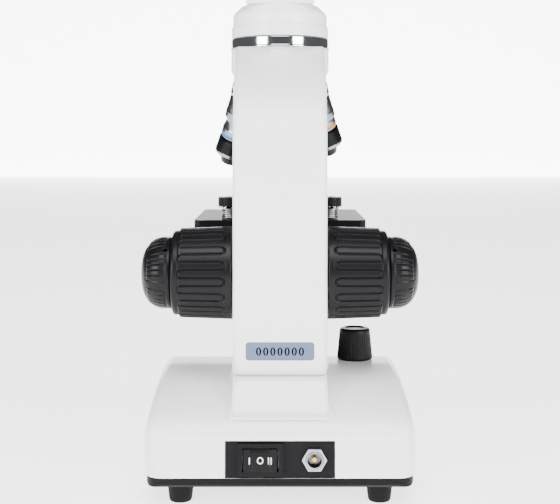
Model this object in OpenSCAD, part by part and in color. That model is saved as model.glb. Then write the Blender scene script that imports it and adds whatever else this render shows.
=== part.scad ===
// Student compound microscope with a turning monocular head, a triple nosepiece and coaxial focus knobs.
// Frame: the eyepiece and the nose of the base face -Y, the power panel faces +Y, X is the focus axis,
// Z is up and the rubber feet stand on z = 0. A setback is a distance in front of the back face.

/* [Base] */
// Widest point of the base
base_w = 125; // [100:0.1:150]
// Depth of the base from its back face to its nose
base_depth = 170; // [140:1:210]
// Height of the flat deck above the table
deck_z = 54.5; // [50:0.5:66]
// Thickness of the cast wall
base_wall = 3.2; // [2.4:0.1:4]
// Thickness of the bottom plate
plate_t = 4.4; // [3.6:0.1:5.4]
// Height of the rubber feet
foot_h = 10.3; // [8.5:0.1:12.4]
// Radius of a foot at its top
foot_r = 6.45; // [5.3:0.05:7.8]
// Distance of the feet from the sides
foot_inset = 15.95; // [12:0.05:20]
// Setback of the rear feet
foot_setback = 15; // [12:0.5:20]
// Width of the power panel
panel_w = 50.6; // [48:0.1:62]
// Height of the power panel
panel_h = 17; // [16.5:0.1:17.5]
// Thickness of the power panel
panel_t = 2.5; // [2:0.1:3]

/* [Arm] */
// Width of the arm
arm_w = 44.5; // [37:0.1:54]
// Setback of the straight back of the arm
arm_back = 12; // [10:0.5:14]
// Setback of the front of the column
arm_front = 52; // [50:0.5:53]
// Setback of the optical axis
axis_setback = 100; // [96:0.5:110]
// Height of the collar's top face, which carries the head
head_z = 217.7; // [205:0.1:262]
// Outer radius of the collar
collar_r = 26.7; // [24.5:0.1:32]
// Width of the serial plate
label_w = 32.3; // [26:0.1:38]
// Height of the serial plate
label_h = 9.1; // [7:0.1:11]

/* [Focus] */
// Height of the focus axis
focus_z = 104; // [98:0.5:112]
// Setback of the focus axis
focus_setback = 35.5; // [34.5:0.1:36.5]
// Radius of the fine focus shaft
fine_shaft_r = 2; // [1.6:0.05:2.4]
// Outer radius of the hollow coarse focus shaft
coarse_shaft_r = 3.4; // [3:0.05:3.5]
// Radial clearance of a running shaft
running_gap = 0.05; // [0.02:0.01:0.09]
// Outer radius of a bearing bush
bush_r = 7; // [5.8:0.1:8.4]
// Radius of a coarse knob at its arm side
coarse_r = 22.55; // [18.7:0.05:27]
// Outer face of the coarse knobs, from the middle
coarse_end = 52; // [48:0.1:62]
// Radius of a fine knob
fine_r = 17.4; // [14.5:0.05:19]
// Length of a fine knob
fine_len = 15; // [12.5:0.1:18]
// Number of pinion teeth
pinion_teeth = 12; // [12:1:12]
// Gear module of the pinion and rack
gear_module = 0.75; // [0.7:0.01:0.78]

/* [Stage] */
// Width of the stage
stage_w = 88; // [74:1:106]
// Depth of the stage
stage_depth = 82; // [68:1:84]
// Thickness of the stage plate
stage_t = 6; // [5:0.1:7.2]
// Gap from the focal plane down to the stage at rest
stage_drop = 11.7; // [10:0.1:14]
// Distance of the clip posts from the middle
clip_x = 26.5; // [24:0.5:32]
// Setback of the clip posts from the stage's back edge
clip_setback = 13; // [10:0.5:16]
// Radius of a clip post
clip_post_r = 1.8; // [1.5:0.05:2.1]
// Radius of the condenser lens
condenser_r = 8; // [6.7:0.1:8.5]
// Distance of the diaphragm's pivot from the optical axis
diaphragm_offset = 15; // [15:0.1:18]

/* [Optics] */
// Tilt of the nosepiece and of each objective on it
nose_tilt = 17; // [15:0.5:18]
// Distance of each objective's shoulder from the nosepiece axis
nose_circle = 22; // [21:0.1:24]
// Radius of the objective thread
thread_r = 8; // [7:0.1:8.5]
// Distance from the objective shoulder to the focal plane
parfocal = 45; // [44:0.5:50]
// Radius of the nosepiece disc
turret_r = 26.5; // [26:0.1:27]
// Radius of the head's spigot
spigot_r = 20; // [17:0.1:22]
// Inner radius of the eyepiece tube
tube_r = 11.65; // [10:0.05:12.5]
// Wall of the eyepiece tube
tube_wall = 2.75; // [2:0.05:3]
// Length of the eyepiece above the tube
eyepiece_len = 32; // [27:0.5:38]

/* [Power and switches] */
// Distance of the lamp switch from the middle
switch_x = 9; // [8.5:0.1:11]
// Width of the switch frame
switch_w = 21; // [18:0.1:23]
// Height of the switch frame
switch_h = 15; // [12.5:0.1:15.5]
// Distance of the power socket from the middle
jack_x = 15.7; // [15:0.1:17]
// Outer radius of the socket's threaded barrel
jack_r = 4; // [3.7:0.05:4.3]
// Radius of the socket's bore
jack_bore_r = 3.15; // [2.7:0.05:3.25]
// Radius of the socket's centre pin
jack_pin_r = 1.05; // [0.9:0.05:1.25]
// Distance across the flats of the socket's nut
jack_nut_flats = 10; // [9.5:0.1:12]
// Distance of the dimmer from the middle
dimmer_x = 39; // [36:0.5:42]
// Setback of the dimmer
dimmer_setback = 71; // [69:0.5:72]
// Radius of the dimmer knob at its foot
dimmer_r = 9.25; // [7.8:0.05:11]
// Height of the dimmer knob
dimmer_h = 16; // [13.5:0.1:19]
// Radius of the dimmer's shaft
dimmer_shaft_r = 3; // [2.5:0.05:3.2]
// Outer radius of the lamp housing
lamp_r = 24.5; // [21:0.1:25]
// Height of the lamp housing's rim
lamp_z = 60; // [58:0.5:64]

/* [Hidden] */
$fn = 64;

// Small gap between fixed pieces that only touch
seat_gap = 0.1;
// Sideways play of a sliding fit
slide_gap = 0.08;

// Colours
cast_white = [0.93, 0.92, 0.92];
satin_black = [0.13, 0.12, 0.13];
soft_black = [0.06, 0.06, 0.065];
bright_chrome = [0.82, 0.84, 0.86];
plain_steel = [0.62, 0.64, 0.66];
brass_gold = [0.75, 0.6, 0.28];
lens_blue = [0.75, 0.86, 0.95, 0.5];

// Heights in the base
plate_z = foot_h;
shell_z = foot_h + plate_t;
side_bulge_z = shell_z + 10.3;
panel_z = shell_z + panel_h / 2;
panel_recess = 0.8;
pedestal_z = deck_z + 1.5;

// The eyepiece and the socket are the front and the back of the whole object, which is centred on y = 0
eyepiece_tilt = 45;
eyecup_r = 16;
tube_start = 22;
tube_len = 38;
eyepiece_end = tube_start + tube_len + eyepiece_len;
socket_proud = 2.4;
front_reach = max((eyepiece_end + eyecup_r) * sin(eyepiece_tilt), base_depth - axis_setback);
back_reach = axis_setback - panel_recess + socket_proud;
axis_y = (front_reach - back_reach) / 2;
rear_y = axis_y + axis_setback;

// Nosepiece: the active objective hangs upright on the optical axis
shoulder_z = head_z - 33.4;
nose_depth = 9;
nose_base_t = 3;
nose_dir = [0, -sin(nose_tilt), -cos(nose_tilt)];
nose_mid = [0, axis_y - nose_circle * cos(nose_tilt), shoulder_z + nose_circle * sin(nose_tilt)];
nose_top = nose_mid - nose_depth * nose_dir;
light_r = 6;

// Stage heights
focal_z = shoulder_z - parfocal;
stage_z = focal_z - stage_drop;
stage_back = axis_setback - stage_depth / 2;
clip_y = rear_y - stage_back - clip_setback;
clip_z = stage_z + 5.7;
strip_t = 0.8;

// Focus works inside the column
focus_y = rear_y - focus_setback;
slot_w = 26;
slot_back = arm_back + 10;
slot_low = pedestal_z + 10;
slot_high = stage_z + 21;
pitch_r = gear_module * pinion_teeth / 2;
rack_setback = focus_setback + pitch_r + 0.12;
rack_back = rack_setback + gear_module * 1.2;
rack_front = rack_back + 3;
carriage_front = arm_front + 1;
carriage_low = focus_z - 22;
carriage_high = stage_z + 8;
rail_reach = 3;
rail_t = 4;
rail_setback = (rack_front + arm_front) / 2;
knob_gap = 0.6;
coarse_start = arm_w / 2 + knob_gap;
fine_start = coarse_end + 0.3;
fine_end = fine_start + fine_len;
shaft_bore_r = fine_shaft_r + running_gap;
set_screw_x = fine_start + 2.6;

// Points on a cubic curve and on an arc
function cubic(a, b, c, d, n) = [
    for (i = [0 : n]) let (t = i / n, s = 1 - t)
        s * s * s * a + 3 * s * s * t * b + 3 * s * t * t * c + t * t * t * d
];
function arc(cx, cy, r, from, to, n) = [
    for (i = [0 : n]) let (a = from + (to - from) * i / n) [cx + r * cos(a), cy + r * sin(a)]
];

// Extrudes an outline of [setback, height] points across the width
module across(width) {
    translate([0, rear_y, 0]) rotate([90, 0, -90]) linear_extrude(width, center = true) children();
}

// A rectangle with round corners, centred
module round_rect(w, h, r) {
    polygon(concat(
        arc(w / 2 - r, h / 2 - r, r, 0, 90, 8), arc(r - w / 2, h / 2 - r, r, 90, 180, 8),
        arc(r - w / 2, r - h / 2, r, 180, 270, 8), arc(w / 2 - r, r - h / 2, r, 270, 360, 8)
    ));
}

// A cylinder along X from one place to another
module x_rod(from, to, r) {
    translate([from, 0, 0]) rotate([0, 90, 0]) cylinder(h = to - from, r = r);
}

// Puts children at the focus axis, the optical axis or the nosepiece axis
module at_focus() {
    translate([0, focus_y, focus_z]) children();
}
module at_axis(z) {
    translate([0, axis_y, z]) children();
}
module at_nose(point) {
    translate(point) rotate([180 - nose_tilt, 0, 0]) children();
}
module at_objective(turn) {
    at_nose(nose_mid) rotate([0, 0, turn]) translate([0, -nose_circle, 0]) rotate([nose_tilt, 0, 0])
        children();
}

// ---- Base ----

// Feet and plate screws, as [x, y] places
foot_x = base_w / 2 - foot_inset;
front_foot_y = rear_y - base_depth + 24;
foot_places = [for (x = [-foot_x, foot_x], y = [rear_y - foot_setback, front_foot_y]) [x, y]];
plate_screw_places = [for (x = [-foot_x + 14, foot_x - 14], y = [rear_y - 26, front_foot_y + 8]) [x, y]];
screw_r = 1.6;

// Outline of the base seen from the side, drawn inwards by an inset
function base_side(inset) = let (d = base_depth - inset, top = deck_z - inset) concat(
    cubic([inset, 33], [inset, 41], [20, top - 2.5], [60, top], 14),
    [[78, top], [d - 10, top - 22.5]],
    cubic([d - 4, top - 24], [d, top - 26], [d, top - 29], [d, top - 34], 6),
    [[d, shell_z], [inset, shell_z]]
);

// Outline of the base seen from the back, with bulging sides and soft shoulders
function base_front(inset) = let (w = base_w / 2 - inset, top = deck_z - inset) concat(
    [[w - 0.7, shell_z], [w, side_bulge_z], [w - 0.6, side_bulge_z + 9]],
    cubic([w - 1.8, top - 8.5], [w - 2.2, top - 3], [w - 4, top], [w - 9, top], 8)
);

module base_form(inset, corner) {
    intersection() {
        across(base_w + 1) polygon(base_side(inset));
        translate([0, rear_y, 0]) rotate([90, 0, 0]) linear_extrude(base_depth) union() {
            polygon(concat([[0, shell_z]], base_front(inset), [[0, deck_z - inset]]));
            mirror([1, 0, 0]) polygon(concat([[0, shell_z]], base_front(inset), [[0, deck_z - inset]]));
        }
        translate([0, rear_y - base_depth / 2, shell_z]) linear_extrude(deck_z)
            round_rect(base_w - 2 * inset, base_depth - 2 * inset, corner);
    }
}

// Lamp pocket: a seat for the lamp housing with a hole for its wires
lamp_seat_z = 37;

module base_shell() {
    color(cast_white) difference() {
        union() {
            difference() {
                base_form(0, 8);
                base_form(base_wall, 6);
            }
            across(arm_w) polygon([
                [5, 39.5], [7, 44], [10, 50], [15, pedestal_z], [62, pedestal_z], [66, deck_z - 1], [66, deck_z - 6],
                [40, deck_z - 6], [20, 43]
            ]);
            intersection() {
                at_axis(lamp_seat_z - base_wall) cylinder(h = 40, r = lamp_r + base_wall);
                base_form(0, 8);
            }
            intersection() {
                for (p = plate_screw_places) translate([p[0], p[1], shell_z]) cylinder(h = deck_z, r = 4);
                base_form(base_wall / 2, 8);
            }
        }
        at_axis(lamp_seat_z) cylinder(h = 40, r = lamp_r + seat_gap);
        at_axis(lamp_seat_z - 10) cylinder(h = 20, r = 5);
        panel_cut(panel_w + 2 * seat_gap, 20);
        translate([-dimmer_x, rear_y - dimmer_setback, deck_z - 10])
            cylinder(h = 20, r = pot_neck_r + seat_gap);
        for (s = arm_bolt_setbacks) translate([0, rear_y - s, arm_bolt_seat_z]) {
            cylinder(h = pedestal_z - arm_bolt_seat_z + 1, r = arm_bolt_r);
            translate([0, 0, -20]) cylinder(h = 20, r = arm_bolt_head_r + seat_gap);
        }
        for (p = plate_screw_places) translate([p[0], p[1], shell_z - 1]) cylinder(h = 13, r = screw_r);
    }
}

module panel_cut(width, depth) {
    translate([0, rear_y + 1, panel_z]) rotate([90, 0, 0]) linear_extrude(depth)
        square([width, panel_h + 2 * seat_gap], center = true);
}

// Bottom plate with a chamfered lower rim
module base_plate() {
    rim = 1.2;
    color(soft_black) difference() {
        intersection() {
            across(base_w) polygon([
                [0.4, plate_z + rim], [0.4, shell_z], [base_depth - 0.4, shell_z], [base_depth - 0.4, plate_z + rim],
                [base_depth - 0.4 - rim, plate_z], [0.4 + rim, plate_z]
            ]);
            translate([0, rear_y - base_depth / 2, plate_z]) linear_extrude(plate_t)
                round_rect(base_w - 1.8, base_depth - 0.8, 8);
            translate([0, rear_y, 0]) rotate([90, 0, 0]) linear_extrude(base_depth) polygon([
                [-base_w / 2 + 0.9, shell_z], [base_w / 2 - 0.9, shell_z], [base_w / 2 - 0.9, plate_z + rim],
                [base_w / 2 - 0.9 - rim, plate_z], [-base_w / 2 + 0.9 + rim, plate_z],
                [-base_w / 2 + 0.9, plate_z + rim]
            ]);
        }
        for (p = foot_places) translate([p[0], p[1], 0]) cylinder(h = deck_z, r = screw_r);
        for (p = plate_screw_places) translate([p[0], p[1], plate_z]) {
            cylinder(h = plate_t * 3, r = screw_r + seat_gap, center = true);
            cylinder(h = 3.6, r = 3.1 + seat_gap, center = true);
        }
    }
}

// Screws that hold the bottom plate to the pillars of the shell, and screws that hold the feet
module base_screws() {
    color(plain_steel) {
        plate_screws();
        foot_screws();
    }
}

module plate_screws() {
    for (p = plate_screw_places) translate([p[0], p[1], plate_z]) difference() {
        union() {
            cylinder(h = 1.8, r = 3.1);
            cylinder(h = plate_t + 10, r = screw_r);
        }
        cross_slot(0.9);
    }
}

module cross_slot(depth) {
    for (turn = [0, 90]) rotate([0, 0, turn]) cube([3.6, 0.9, 2 * depth], center = true);
}

foot_well_r = 3.6;
foot_well_h = 5.5;

module rubber_feet() {
    color(soft_black) for (p = foot_places) translate([p[0], p[1], 0]) rotate_extrude() polygon([
        [foot_well_r, 0], [foot_r - 1.6, 0], [foot_r - 1.1, 0.7], [foot_r - 0.1, foot_h - 1], [foot_r, foot_h],
        [screw_r, foot_h], [screw_r, foot_well_h], [foot_well_r, foot_well_h]
    ]);
}

module foot_screws() {
    for (p = foot_places) translate([p[0], p[1], 0]) difference() {
        union() {
            translate([0, 0, foot_well_h - 2]) cylinder(h = 2, r = 3);
            translate([0, 0, foot_well_h]) cylinder(h = shell_z - foot_well_h, r = screw_r);
        }
        translate([0, 0, foot_well_h - 2]) cross_slot(0.9);
    }
}

// ---- Power panel ----

// The panel stands a little inside the back face
panel_face_y = rear_y - panel_recess;
switch_body_w = switch_w - 2.2;
switch_body_h = switch_h - 2.4;
rocker_w = 15.9;
rocker_h = 10.4;
rocker_pivot_y = panel_face_y + 0.2;
rocker_pin_r = 1;
jack_z = panel_z;

// Turns a drawing on the panel so that its z axis points out of the back
module on_panel(x) {
    translate([x, panel_face_y, panel_z]) rotate([-90, 0, 0]) children();
}

module rear_panel() {
    color(satin_black) difference() {
        on_panel(0) translate([0, 0, -panel_t]) linear_extrude(panel_t)
            square([panel_w, panel_h], center = true);
        on_panel(switch_x) translate([0, 0, -panel_t - 1]) linear_extrude(panel_t + 2)
            square([switch_body_w + 2 * seat_gap, switch_body_h + 2 * seat_gap], center = true);
        on_panel(-jack_x) translate([0, 0, -panel_t - 1]) cylinder(h = panel_t + 2, r = jack_r);
    }
}

// Switch frame: a flange on the panel and a box behind it, open for the rocker
module switch_frame() {
    color(soft_black) difference() {
        union() {
            on_panel(switch_x) linear_extrude(1.8) square([switch_w, switch_h], center = true);
            on_panel(switch_x) translate([0, 0, -13]) linear_extrude(14)
                square([switch_body_w, switch_body_h], center = true);
        }
        on_panel(switch_x) translate([0, 0, -10]) linear_extrude(20)
            square([rocker_w + 0.6, rocker_h + 0.3], center = true);
        translate([switch_x, rocker_pivot_y, panel_z])
            cylinder(h = rocker_h + 1.6, r = rocker_pin_r + running_gap, center = true);
    }
}

// Rocker with a hollow face, on two short pins
module rocker() {
    color(soft_black) translate([switch_x, rocker_pivot_y, panel_z]) union() {
        translate([0, 0, -rocker_h / 2]) linear_extrude(rocker_h) difference() {
            intersection() {
                circle(r = rocker_w / 2);
                translate([-rocker_w, -4]) square([2 * rocker_w, 6.6]);
            }
            translate([0, 23.4]) circle(r = 21.5, $fn = 128);
        }
        cylinder(h = rocker_h + 1.4, r = rocker_pin_r, center = true);
    }
}

module jack_barrel() {
    color(soft_black) difference() {
        on_panel(-jack_x) union() {
            translate([0, 0, -panel_t - 10]) cylinder(h = panel_t + 10 + socket_proud, r = jack_r);
            translate([0, 0, -panel_t - 2.5]) cylinder(h = 2.5, r = jack_r + 1.8);
        }
        on_panel(-jack_x) translate([0, 0, -7]) cylinder(h = 20, r = jack_bore_r);
    }
}

module jack_nut() {
    color(bright_chrome) on_panel(-jack_x) difference() {
        cylinder(h = 2, r = jack_nut_flats / 2 / cos(30), $fn = 6);
        translate([0, 0, -1]) cylinder(h = 4, r = jack_r);
    }
}

module jack_pin() {
    color(brass_gold) on_panel(-jack_x) translate([0, 0, -7]) cylinder(h = 8, r = jack_pin_r);
}

// ---- Dimmer ----

pot_neck_r = dimmer_shaft_r + 1.4;
pot_top_z = deck_z - base_wall - seat_gap;
neck_top_z = deck_z + 4;
dimmer_top_z = deck_z + 0.3 + dimmer_h;

module at_dimmer(z) {
    translate([-dimmer_x, rear_y - dimmer_setback, z]) children();
}

module dimmer_pot() {
    color(plain_steel) difference() {
        union() {
            at_dimmer(pot_top_z - 9) cylinder(h = 9, r = 8);
            at_dimmer(pot_top_z - 1) cylinder(h = neck_top_z - pot_top_z + 1, r = pot_neck_r);
        }
        at_dimmer(pot_top_z - 7) cylinder(h = 30, r = dimmer_shaft_r + running_gap);
    }
}

module dimmer_shaft() {
    color(plain_steel) at_dimmer(pot_top_z - 6.9)
        cylinder(h = dimmer_top_z - pot_top_z + 3.4, r = dimmer_shaft_r);
}

// Knob with fine flutes, hollow underneath over the neck of the pot
module dimmer_knob() {
    draft = 1.5;
    color(satin_black) difference() {
        at_dimmer(deck_z + 0.3) rotate_extrude() polygon([
            [0, 0], [dimmer_r - 0.5, 0], [dimmer_r, 0.8], [dimmer_r - draft, dimmer_h - 1.4],
            [dimmer_r - draft - 0.5, dimmer_h - 0.6], [dimmer_r - draft - 1.6, dimmer_h - 0.2], [0, dimmer_h]
        ]);
        at_dimmer(deck_z) cylinder(h = neck_top_z - deck_z + 1, r = pot_neck_r + 1.2);
        at_dimmer(deck_z) cylinder(h = dimmer_top_z - deck_z - 3.5, r = dimmer_shaft_r);
    }
}

// ---- Lamp and driver ----

module driver_board() {
    color([0.1, 0.35, 0.2]) union() {
        translate([-18, rear_y - 62, shell_z + 4]) cube([36, 30, 1.6]);
        for (x = [-12, -2, 8]) translate([x, rear_y - 52, shell_z + 5.6]) cube([5, 9, 6]);
    }
}

module lamp_housing() {
    lens_seat = lamp_z - 5;
    color(soft_black) at_axis(lamp_seat_z) difference() {
        cylinder(h = lamp_z - lamp_seat_z, r = lamp_r);
        translate([0, 0, base_wall]) cylinder(h = lens_seat - lamp_seat_z - base_wall, r = lamp_r - 4);
        translate([0, 0, lens_seat - lamp_seat_z - 1]) cylinder(h = 10, r = field_r - 1);
        translate([0, 0, lamp_z - 3.5 - lamp_seat_z]) cylinder(h = 10, r = field_r);
        translate([0, 0, -1]) cylinder(h = 10, r = 3);
    }
}
field_r = 15;

module lamp_board() {
    color([0.9, 0.9, 0.85]) at_axis(lamp_seat_z + base_wall) union() {
        cylinder(h = 1.6, r = 12);
        translate([0, 0, 1.6]) cylinder(h = 1.4, r = 3);
    }
}

// Field lens with a gently domed face
module field_lens() {
    bulge_r = 60;
    color(lens_blue) at_axis(lamp_z - 3.5) intersection() {
        cylinder(h = 6, r = field_r);
        translate([0, 0, 5 - bulge_r]) sphere(r = bulge_r, $fn = 96);
    }
}

// ---- Arm ----

arm_bolt_r = 3;
arm_bolt_head_r = 5;
arm_bolt_hold = 7.5;
arm_bolt_seat_z = deck_z - 6;
arm_bolt_setbacks = [32, 46];
under_arm_z = nose_top[2] + nose_base_t * cos(nose_tilt);
under_arm_setback = rear_y - nose_top[1] - nose_base_t * sin(nose_tilt);
under_slope = tan(nose_tilt);
collar_low = head_z - 13.7;

neck_setback = axis_setback - collar_r + 4;

// Height of the arm's tilted underside at a setback
function under_z(setback) = under_arm_z + (setback - under_arm_setback) * under_slope;

// Outline of the arm from the side: curled foot, straight back and a neck that sweeps over the stage
arm_outline = concat(
    [[arm_front, pedestal_z], [arm_back + 12, pedestal_z]],
    cubic([arm_back + 12, pedestal_z], [arm_back + 4, pedestal_z + 4], [arm_back, pedestal_z + 24],
        [arm_back, pedestal_z + 46], 16),
    cubic([arm_back, head_z - 67.5], [arm_back, head_z - 37.5], [arm_back + 16, head_z - 15.5],
        [axis_setback - collar_r + 2, head_z], 20),
    [[axis_setback, head_z], [axis_setback, under_z(axis_setback)]],
    cubic([neck_setback, under_z(neck_setback)], [neck_setback - 15, under_z(neck_setback - 15)],
        [arm_front, head_z - 48], [arm_front, head_z - 78], 12)
);

module arm() {
    color(cast_white) difference() {
        union() {
            across(arm_w) polygon(arm_outline);
            at_axis(0) rotate_extrude() polygon([
                [0, collar_low - 18], [collar_r - 4, collar_low - 18], [collar_r - 4, collar_low - 2],
                [collar_r, collar_low + 1], [collar_r, head_z], [0, head_z]
            ]);
        }
        at_nose(nose_top - nose_base_t * nose_dir) translate([-60, -60, 0]) cube([120, 120, 60]);
        across(slot_w) polygon([
            [slot_back, slot_low], [slot_back, slot_high],
            [arm_front + 40, slot_high], [arm_front + 40, slot_low]
        ]);
        at_focus() x_rod(-arm_w, arm_w, bush_r);
        at_axis(head_z - 60) cylinder(h = 90, r = light_r + 2);
        at_axis(head_z - spigot_depth - 0.3) cylinder(h = 20, r = spigot_r + running_gap);
        at_nose(nose_top - 12 * nose_dir) cylinder(h = 20, r = nose_pivot_r);
        for (s = arm_bolt_setbacks) translate([0, rear_y - s, pedestal_z - 1])
            cylinder(h = arm_bolt_hold + 1.5, r = arm_bolt_r);
        lock_screw_place() translate([0, 0, -lock_reach]) cylinder(h = lock_reach + 6, r = lock_screw_r);
        translate([0, rear_y - arm_front, upper_lamp_z]) rotate([90, 0, 0])
            cylinder(h = 2 * upper_lamp_hold, r = upper_lamp_r - 2, center = true);
        at_upper_lamp() cylinder(h = 20, r = upper_lamp_r);
    }
}

// Bolts that come up from inside the base
module arm_bolts() {
    head_t = 4;
    color(plain_steel) for (s = arm_bolt_setbacks) translate([0, rear_y - s, arm_bolt_seat_z]) difference() {
        union() {
            translate([0, 0, -head_t]) cylinder(h = head_t, r = arm_bolt_head_r);
            cylinder(h = pedestal_z + arm_bolt_hold - arm_bolt_seat_z, r = arm_bolt_r);
        }
        translate([0, 0, -head_t - 1]) cylinder(h = head_t - 0.5, r = 0.58 * arm_bolt_head_r, $fn = 6);
    }
}

// Height of the serial plate's middle, and the thickness that stands out of the arm
label_z = 69.3;
label_t = 0.5;

module serial_plate() {
    color([0.63, 0.68, 0.78]) intersection() {
        difference() {
            across(label_w) polygon([for (p = arm_outline) p - [label_t, 0]]);
            across(arm_w + 2) polygon(arm_outline);
        }
        translate([0, rear_y, label_z]) rotate([90, 0, 0]) linear_extrude(40)
            round_rect(label_w, label_h, 1.5);
    }
}

// ---- Upper lamp, under the neck of the arm ----

upper_lamp_z = stage_z + 30;
upper_lamp_r = 6;
upper_lamp_hold = 3;

module at_upper_lamp() {
    translate([0, rear_y - arm_front, upper_lamp_z]) rotate([90, 0, 0]) children();
}

module upper_lamp() {
    color(satin_black) at_upper_lamp() difference() {
        union() {
            cylinder(h = 9, r = upper_lamp_r);
            translate([0, 0, -upper_lamp_hold]) cylinder(h = upper_lamp_hold, r = upper_lamp_r - 2);
        }
        translate([0, 0, 3]) cylinder(h = 10, r = upper_lamp_r - 2);
    }
}

module upper_lamp_lens() {
    color(lens_blue) at_upper_lamp() translate([0, 0, 3]) union() {
        cylinder(h = 3, r = upper_lamp_r - 2);
        translate([0, 0, 3]) intersection() {
            sphere(r = upper_lamp_r - 2);
            cylinder(h = upper_lamp_r, r = upper_lamp_r);
        }
    }
}

// ---- Focus works ----

module focus_bushes() {
    color(brass_gold) at_focus() for (side = [0, 1]) mirror([side, 0, 0]) difference() {
        x_rod(slot_w / 2 - 1, arm_w / 2, bush_r);
        x_rod(slot_w / 2 - 2, arm_w / 2 + 1, coarse_shaft_r + running_gap);
    }
}

// Two rails in the column that the carriage slides on
module guide_rails() {
    rail_low = slot_low + 2;
    rail_high = slot_high - 1;
    color(plain_steel) for (side = [0, 1]) mirror([side, 0, 0])
        translate([slot_w / 2 - rail_reach, rear_y - rail_setback - rail_t / 2, rail_low])
            cube([rail_reach, rail_t, rail_high - rail_low]);
}

module carriage() {
    half_w = slot_w / 2 - slide_gap;
    color(plain_steel) difference() {
        translate([-half_w, rear_y - carriage_front, carriage_low])
            cube([2 * half_w, carriage_front - rack_front, carriage_high - carriage_low]);
        for (side = [0, 1]) mirror([side, 0, 0])
            translate([slot_w / 2 - rail_reach - slide_gap, rear_y - rail_setback - rail_t / 2 - slide_gap,
                    carriage_low - 1])
                cube([rail_reach + 1, rail_t + 2 * slide_gap, carriage_high - carriage_low + 2]);
        translate([-tongue_w / 2 - slide_gap, rear_y - carriage_front - 1, carriage_low + 6])
            cube([tongue_w + 2 * slide_gap, tongue_depth + 1 + slide_gap, carriage_high]);
    }
}

// Tongue of the stage bracket, which slides in the carriage for fine focus
tongue_w = 9;
tongue_depth = 3;
fine_travel = 0.6;

// Distance between teeth, and thickness of a tooth at the pitch line
tooth_pitch = PI * gear_module;
tooth_thick = 0.42 * tooth_pitch;

// One tooth that points along +X, from its root on one side to its root on the other
function tooth_side(root) = let(reach = 0.62 * gear_module, half = tooth_thick / 2) [
    [-root, -half - root * 0.3], [reach * 0.35, reach * 0.16 - half], [reach, reach * 0.52 - half],
    [reach, half - reach * 0.52], [reach * 0.35, half - reach * 0.16], [-root, half + root * 0.3]
];

module focus_rack() {
    count = 2 * floor((2 * pitch_r + 24) / tooth_pitch / 2) + 2;
    root = rack_back - rack_setback;
    end = count * tooth_pitch / 2;
    color(brass_gold) translate([0, rear_y - rack_setback, focus_z]) rotate([90, 0, 90])
        linear_extrude(9, center = true) polygon([
            [-root, -end],
            for (i = [0 : count - 1]) for (p = tooth_side(root)) [p[0], p[1] + (i + 0.5) * tooth_pitch - end],
            [-root, end], [rack_setback - rack_front, end], [rack_setback - rack_front, -end]
        ]);
}

module focus_pinion() {
    color(brass_gold) at_focus() rotate([90, 0, 90]) linear_extrude(10, center = true) difference() {
        polygon([
            for (i = [0 : pinion_teeth - 1]) for (p = tooth_side(0.85 * gear_module))
                let(turn = i * 360 / pinion_teeth + 180, out = p[0] + pitch_r)
                    [out * cos(turn) - p[1] * sin(turn), out * sin(turn) + p[1] * cos(turn)]
        ]);
        circle(r = coarse_shaft_r);
    }
}

module coarse_shaft() {
    color(plain_steel) at_focus() difference() {
        x_rod(-coarse_start - 12, coarse_start + 12, coarse_shaft_r);
        x_rod(-coarse_end, coarse_end, shaft_bore_r);
    }
}

module fine_shaft() {
    color(plain_steel) at_focus() x_rod(-fine_end + 4, fine_end - 4, fine_shaft_r);
}

// Grip of a coarse knob: slight taper, then a step down to a band with a round edge
coarse_taper = 0.9;
band_len = 3.6;
band_step = 1.2;

module coarse_knob() {
    band_r = coarse_r - coarse_taper - band_step;
    band_x = coarse_end - band_len;
    hub_r = coarse_shaft_r + 3.5;
    well_r = coarse_r - 5;
    well_x = coarse_start + 12;
    color(satin_black) at_focus() rotate([0, 90, 0]) rotate_extrude() polygon(concat(
        [
            [coarse_shaft_r, coarse_start], [coarse_r - 1.2, coarse_start], [coarse_r, coarse_start + 1.2],
            [coarse_r - coarse_taper, band_x - 0.8], [coarse_r - coarse_taper - 0.8, band_x]
        ],
        arc(band_r - 2.5, coarse_end - 2.5, 2.5, 0, 90, 6),
        [
            [well_r, coarse_end], [well_r, well_x], [hub_r, well_x], [hub_r, coarse_end - 1],
            [shaft_bore_r + 0.4, coarse_end - 1], [shaft_bore_r + 0.4, coarse_start + 12],
            [coarse_shaft_r, coarse_start + 12]
        ]
    ));
}

module coarse_knob_right() {
    coarse_knob();
}

module coarse_knob_left() {
    mirror([1, 0, 0]) coarse_knob();
}

// Power of the superellipse that shapes the dome of a fine knob
dome_power = 2.8;

// Domed fine knob with a set screw near its inner edge
module fine_knob() {
    color(satin_black) at_focus() difference() {
        rotate([0, 90, 0]) rotate_extrude() polygon(concat(
            [[0, fine_start], [fine_r - 0.6, fine_start]],
            [for (i = [0 : 14]) let (u = 0.04 + 0.96 * sin(i * 90 / 14)) [
                fine_r * pow(max(1 - pow(u, dome_power), 0), 1 / dome_power), fine_start + u * fine_len
            ]]
        ));
        x_rod(fine_start - 1, fine_end - 4, fine_shaft_r);
        set_screw_place() translate([0, 0, -1]) cylinder(h = fine_r + 2, r = set_screw_r);
    }
}
set_screw_r = 1.1;

module set_screw_place() {
    translate([set_screw_x, 0, 0]) rotate([-45, 0, 0]) children();
}

module fine_knob_right() {
    fine_knob();
}

module fine_knob_left() {
    mirror([1, 0, 0]) fine_knob();
}

module knob_set_screws() {
    color(plain_steel) for (side = [0, 1]) mirror([side, 0, 0]) at_focus() set_screw_place()
        translate([0, 0, fine_shaft_r + 0.02]) difference() {
            cylinder(h = 5, r = set_screw_r);
            translate([0, 0, 3.5]) cylinder(h = 3, r = 0.6, $fn = 6);
        }
}

// ---- Stage ----

condenser_wall = 1.5;
condenser_low = stage_z - stage_t - 7.6;
disc_t = 1.5;
disc_top = condenser_low - 0.3;
disc_r = diaphragm_offset + 7;
pivot_r = 2;

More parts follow.
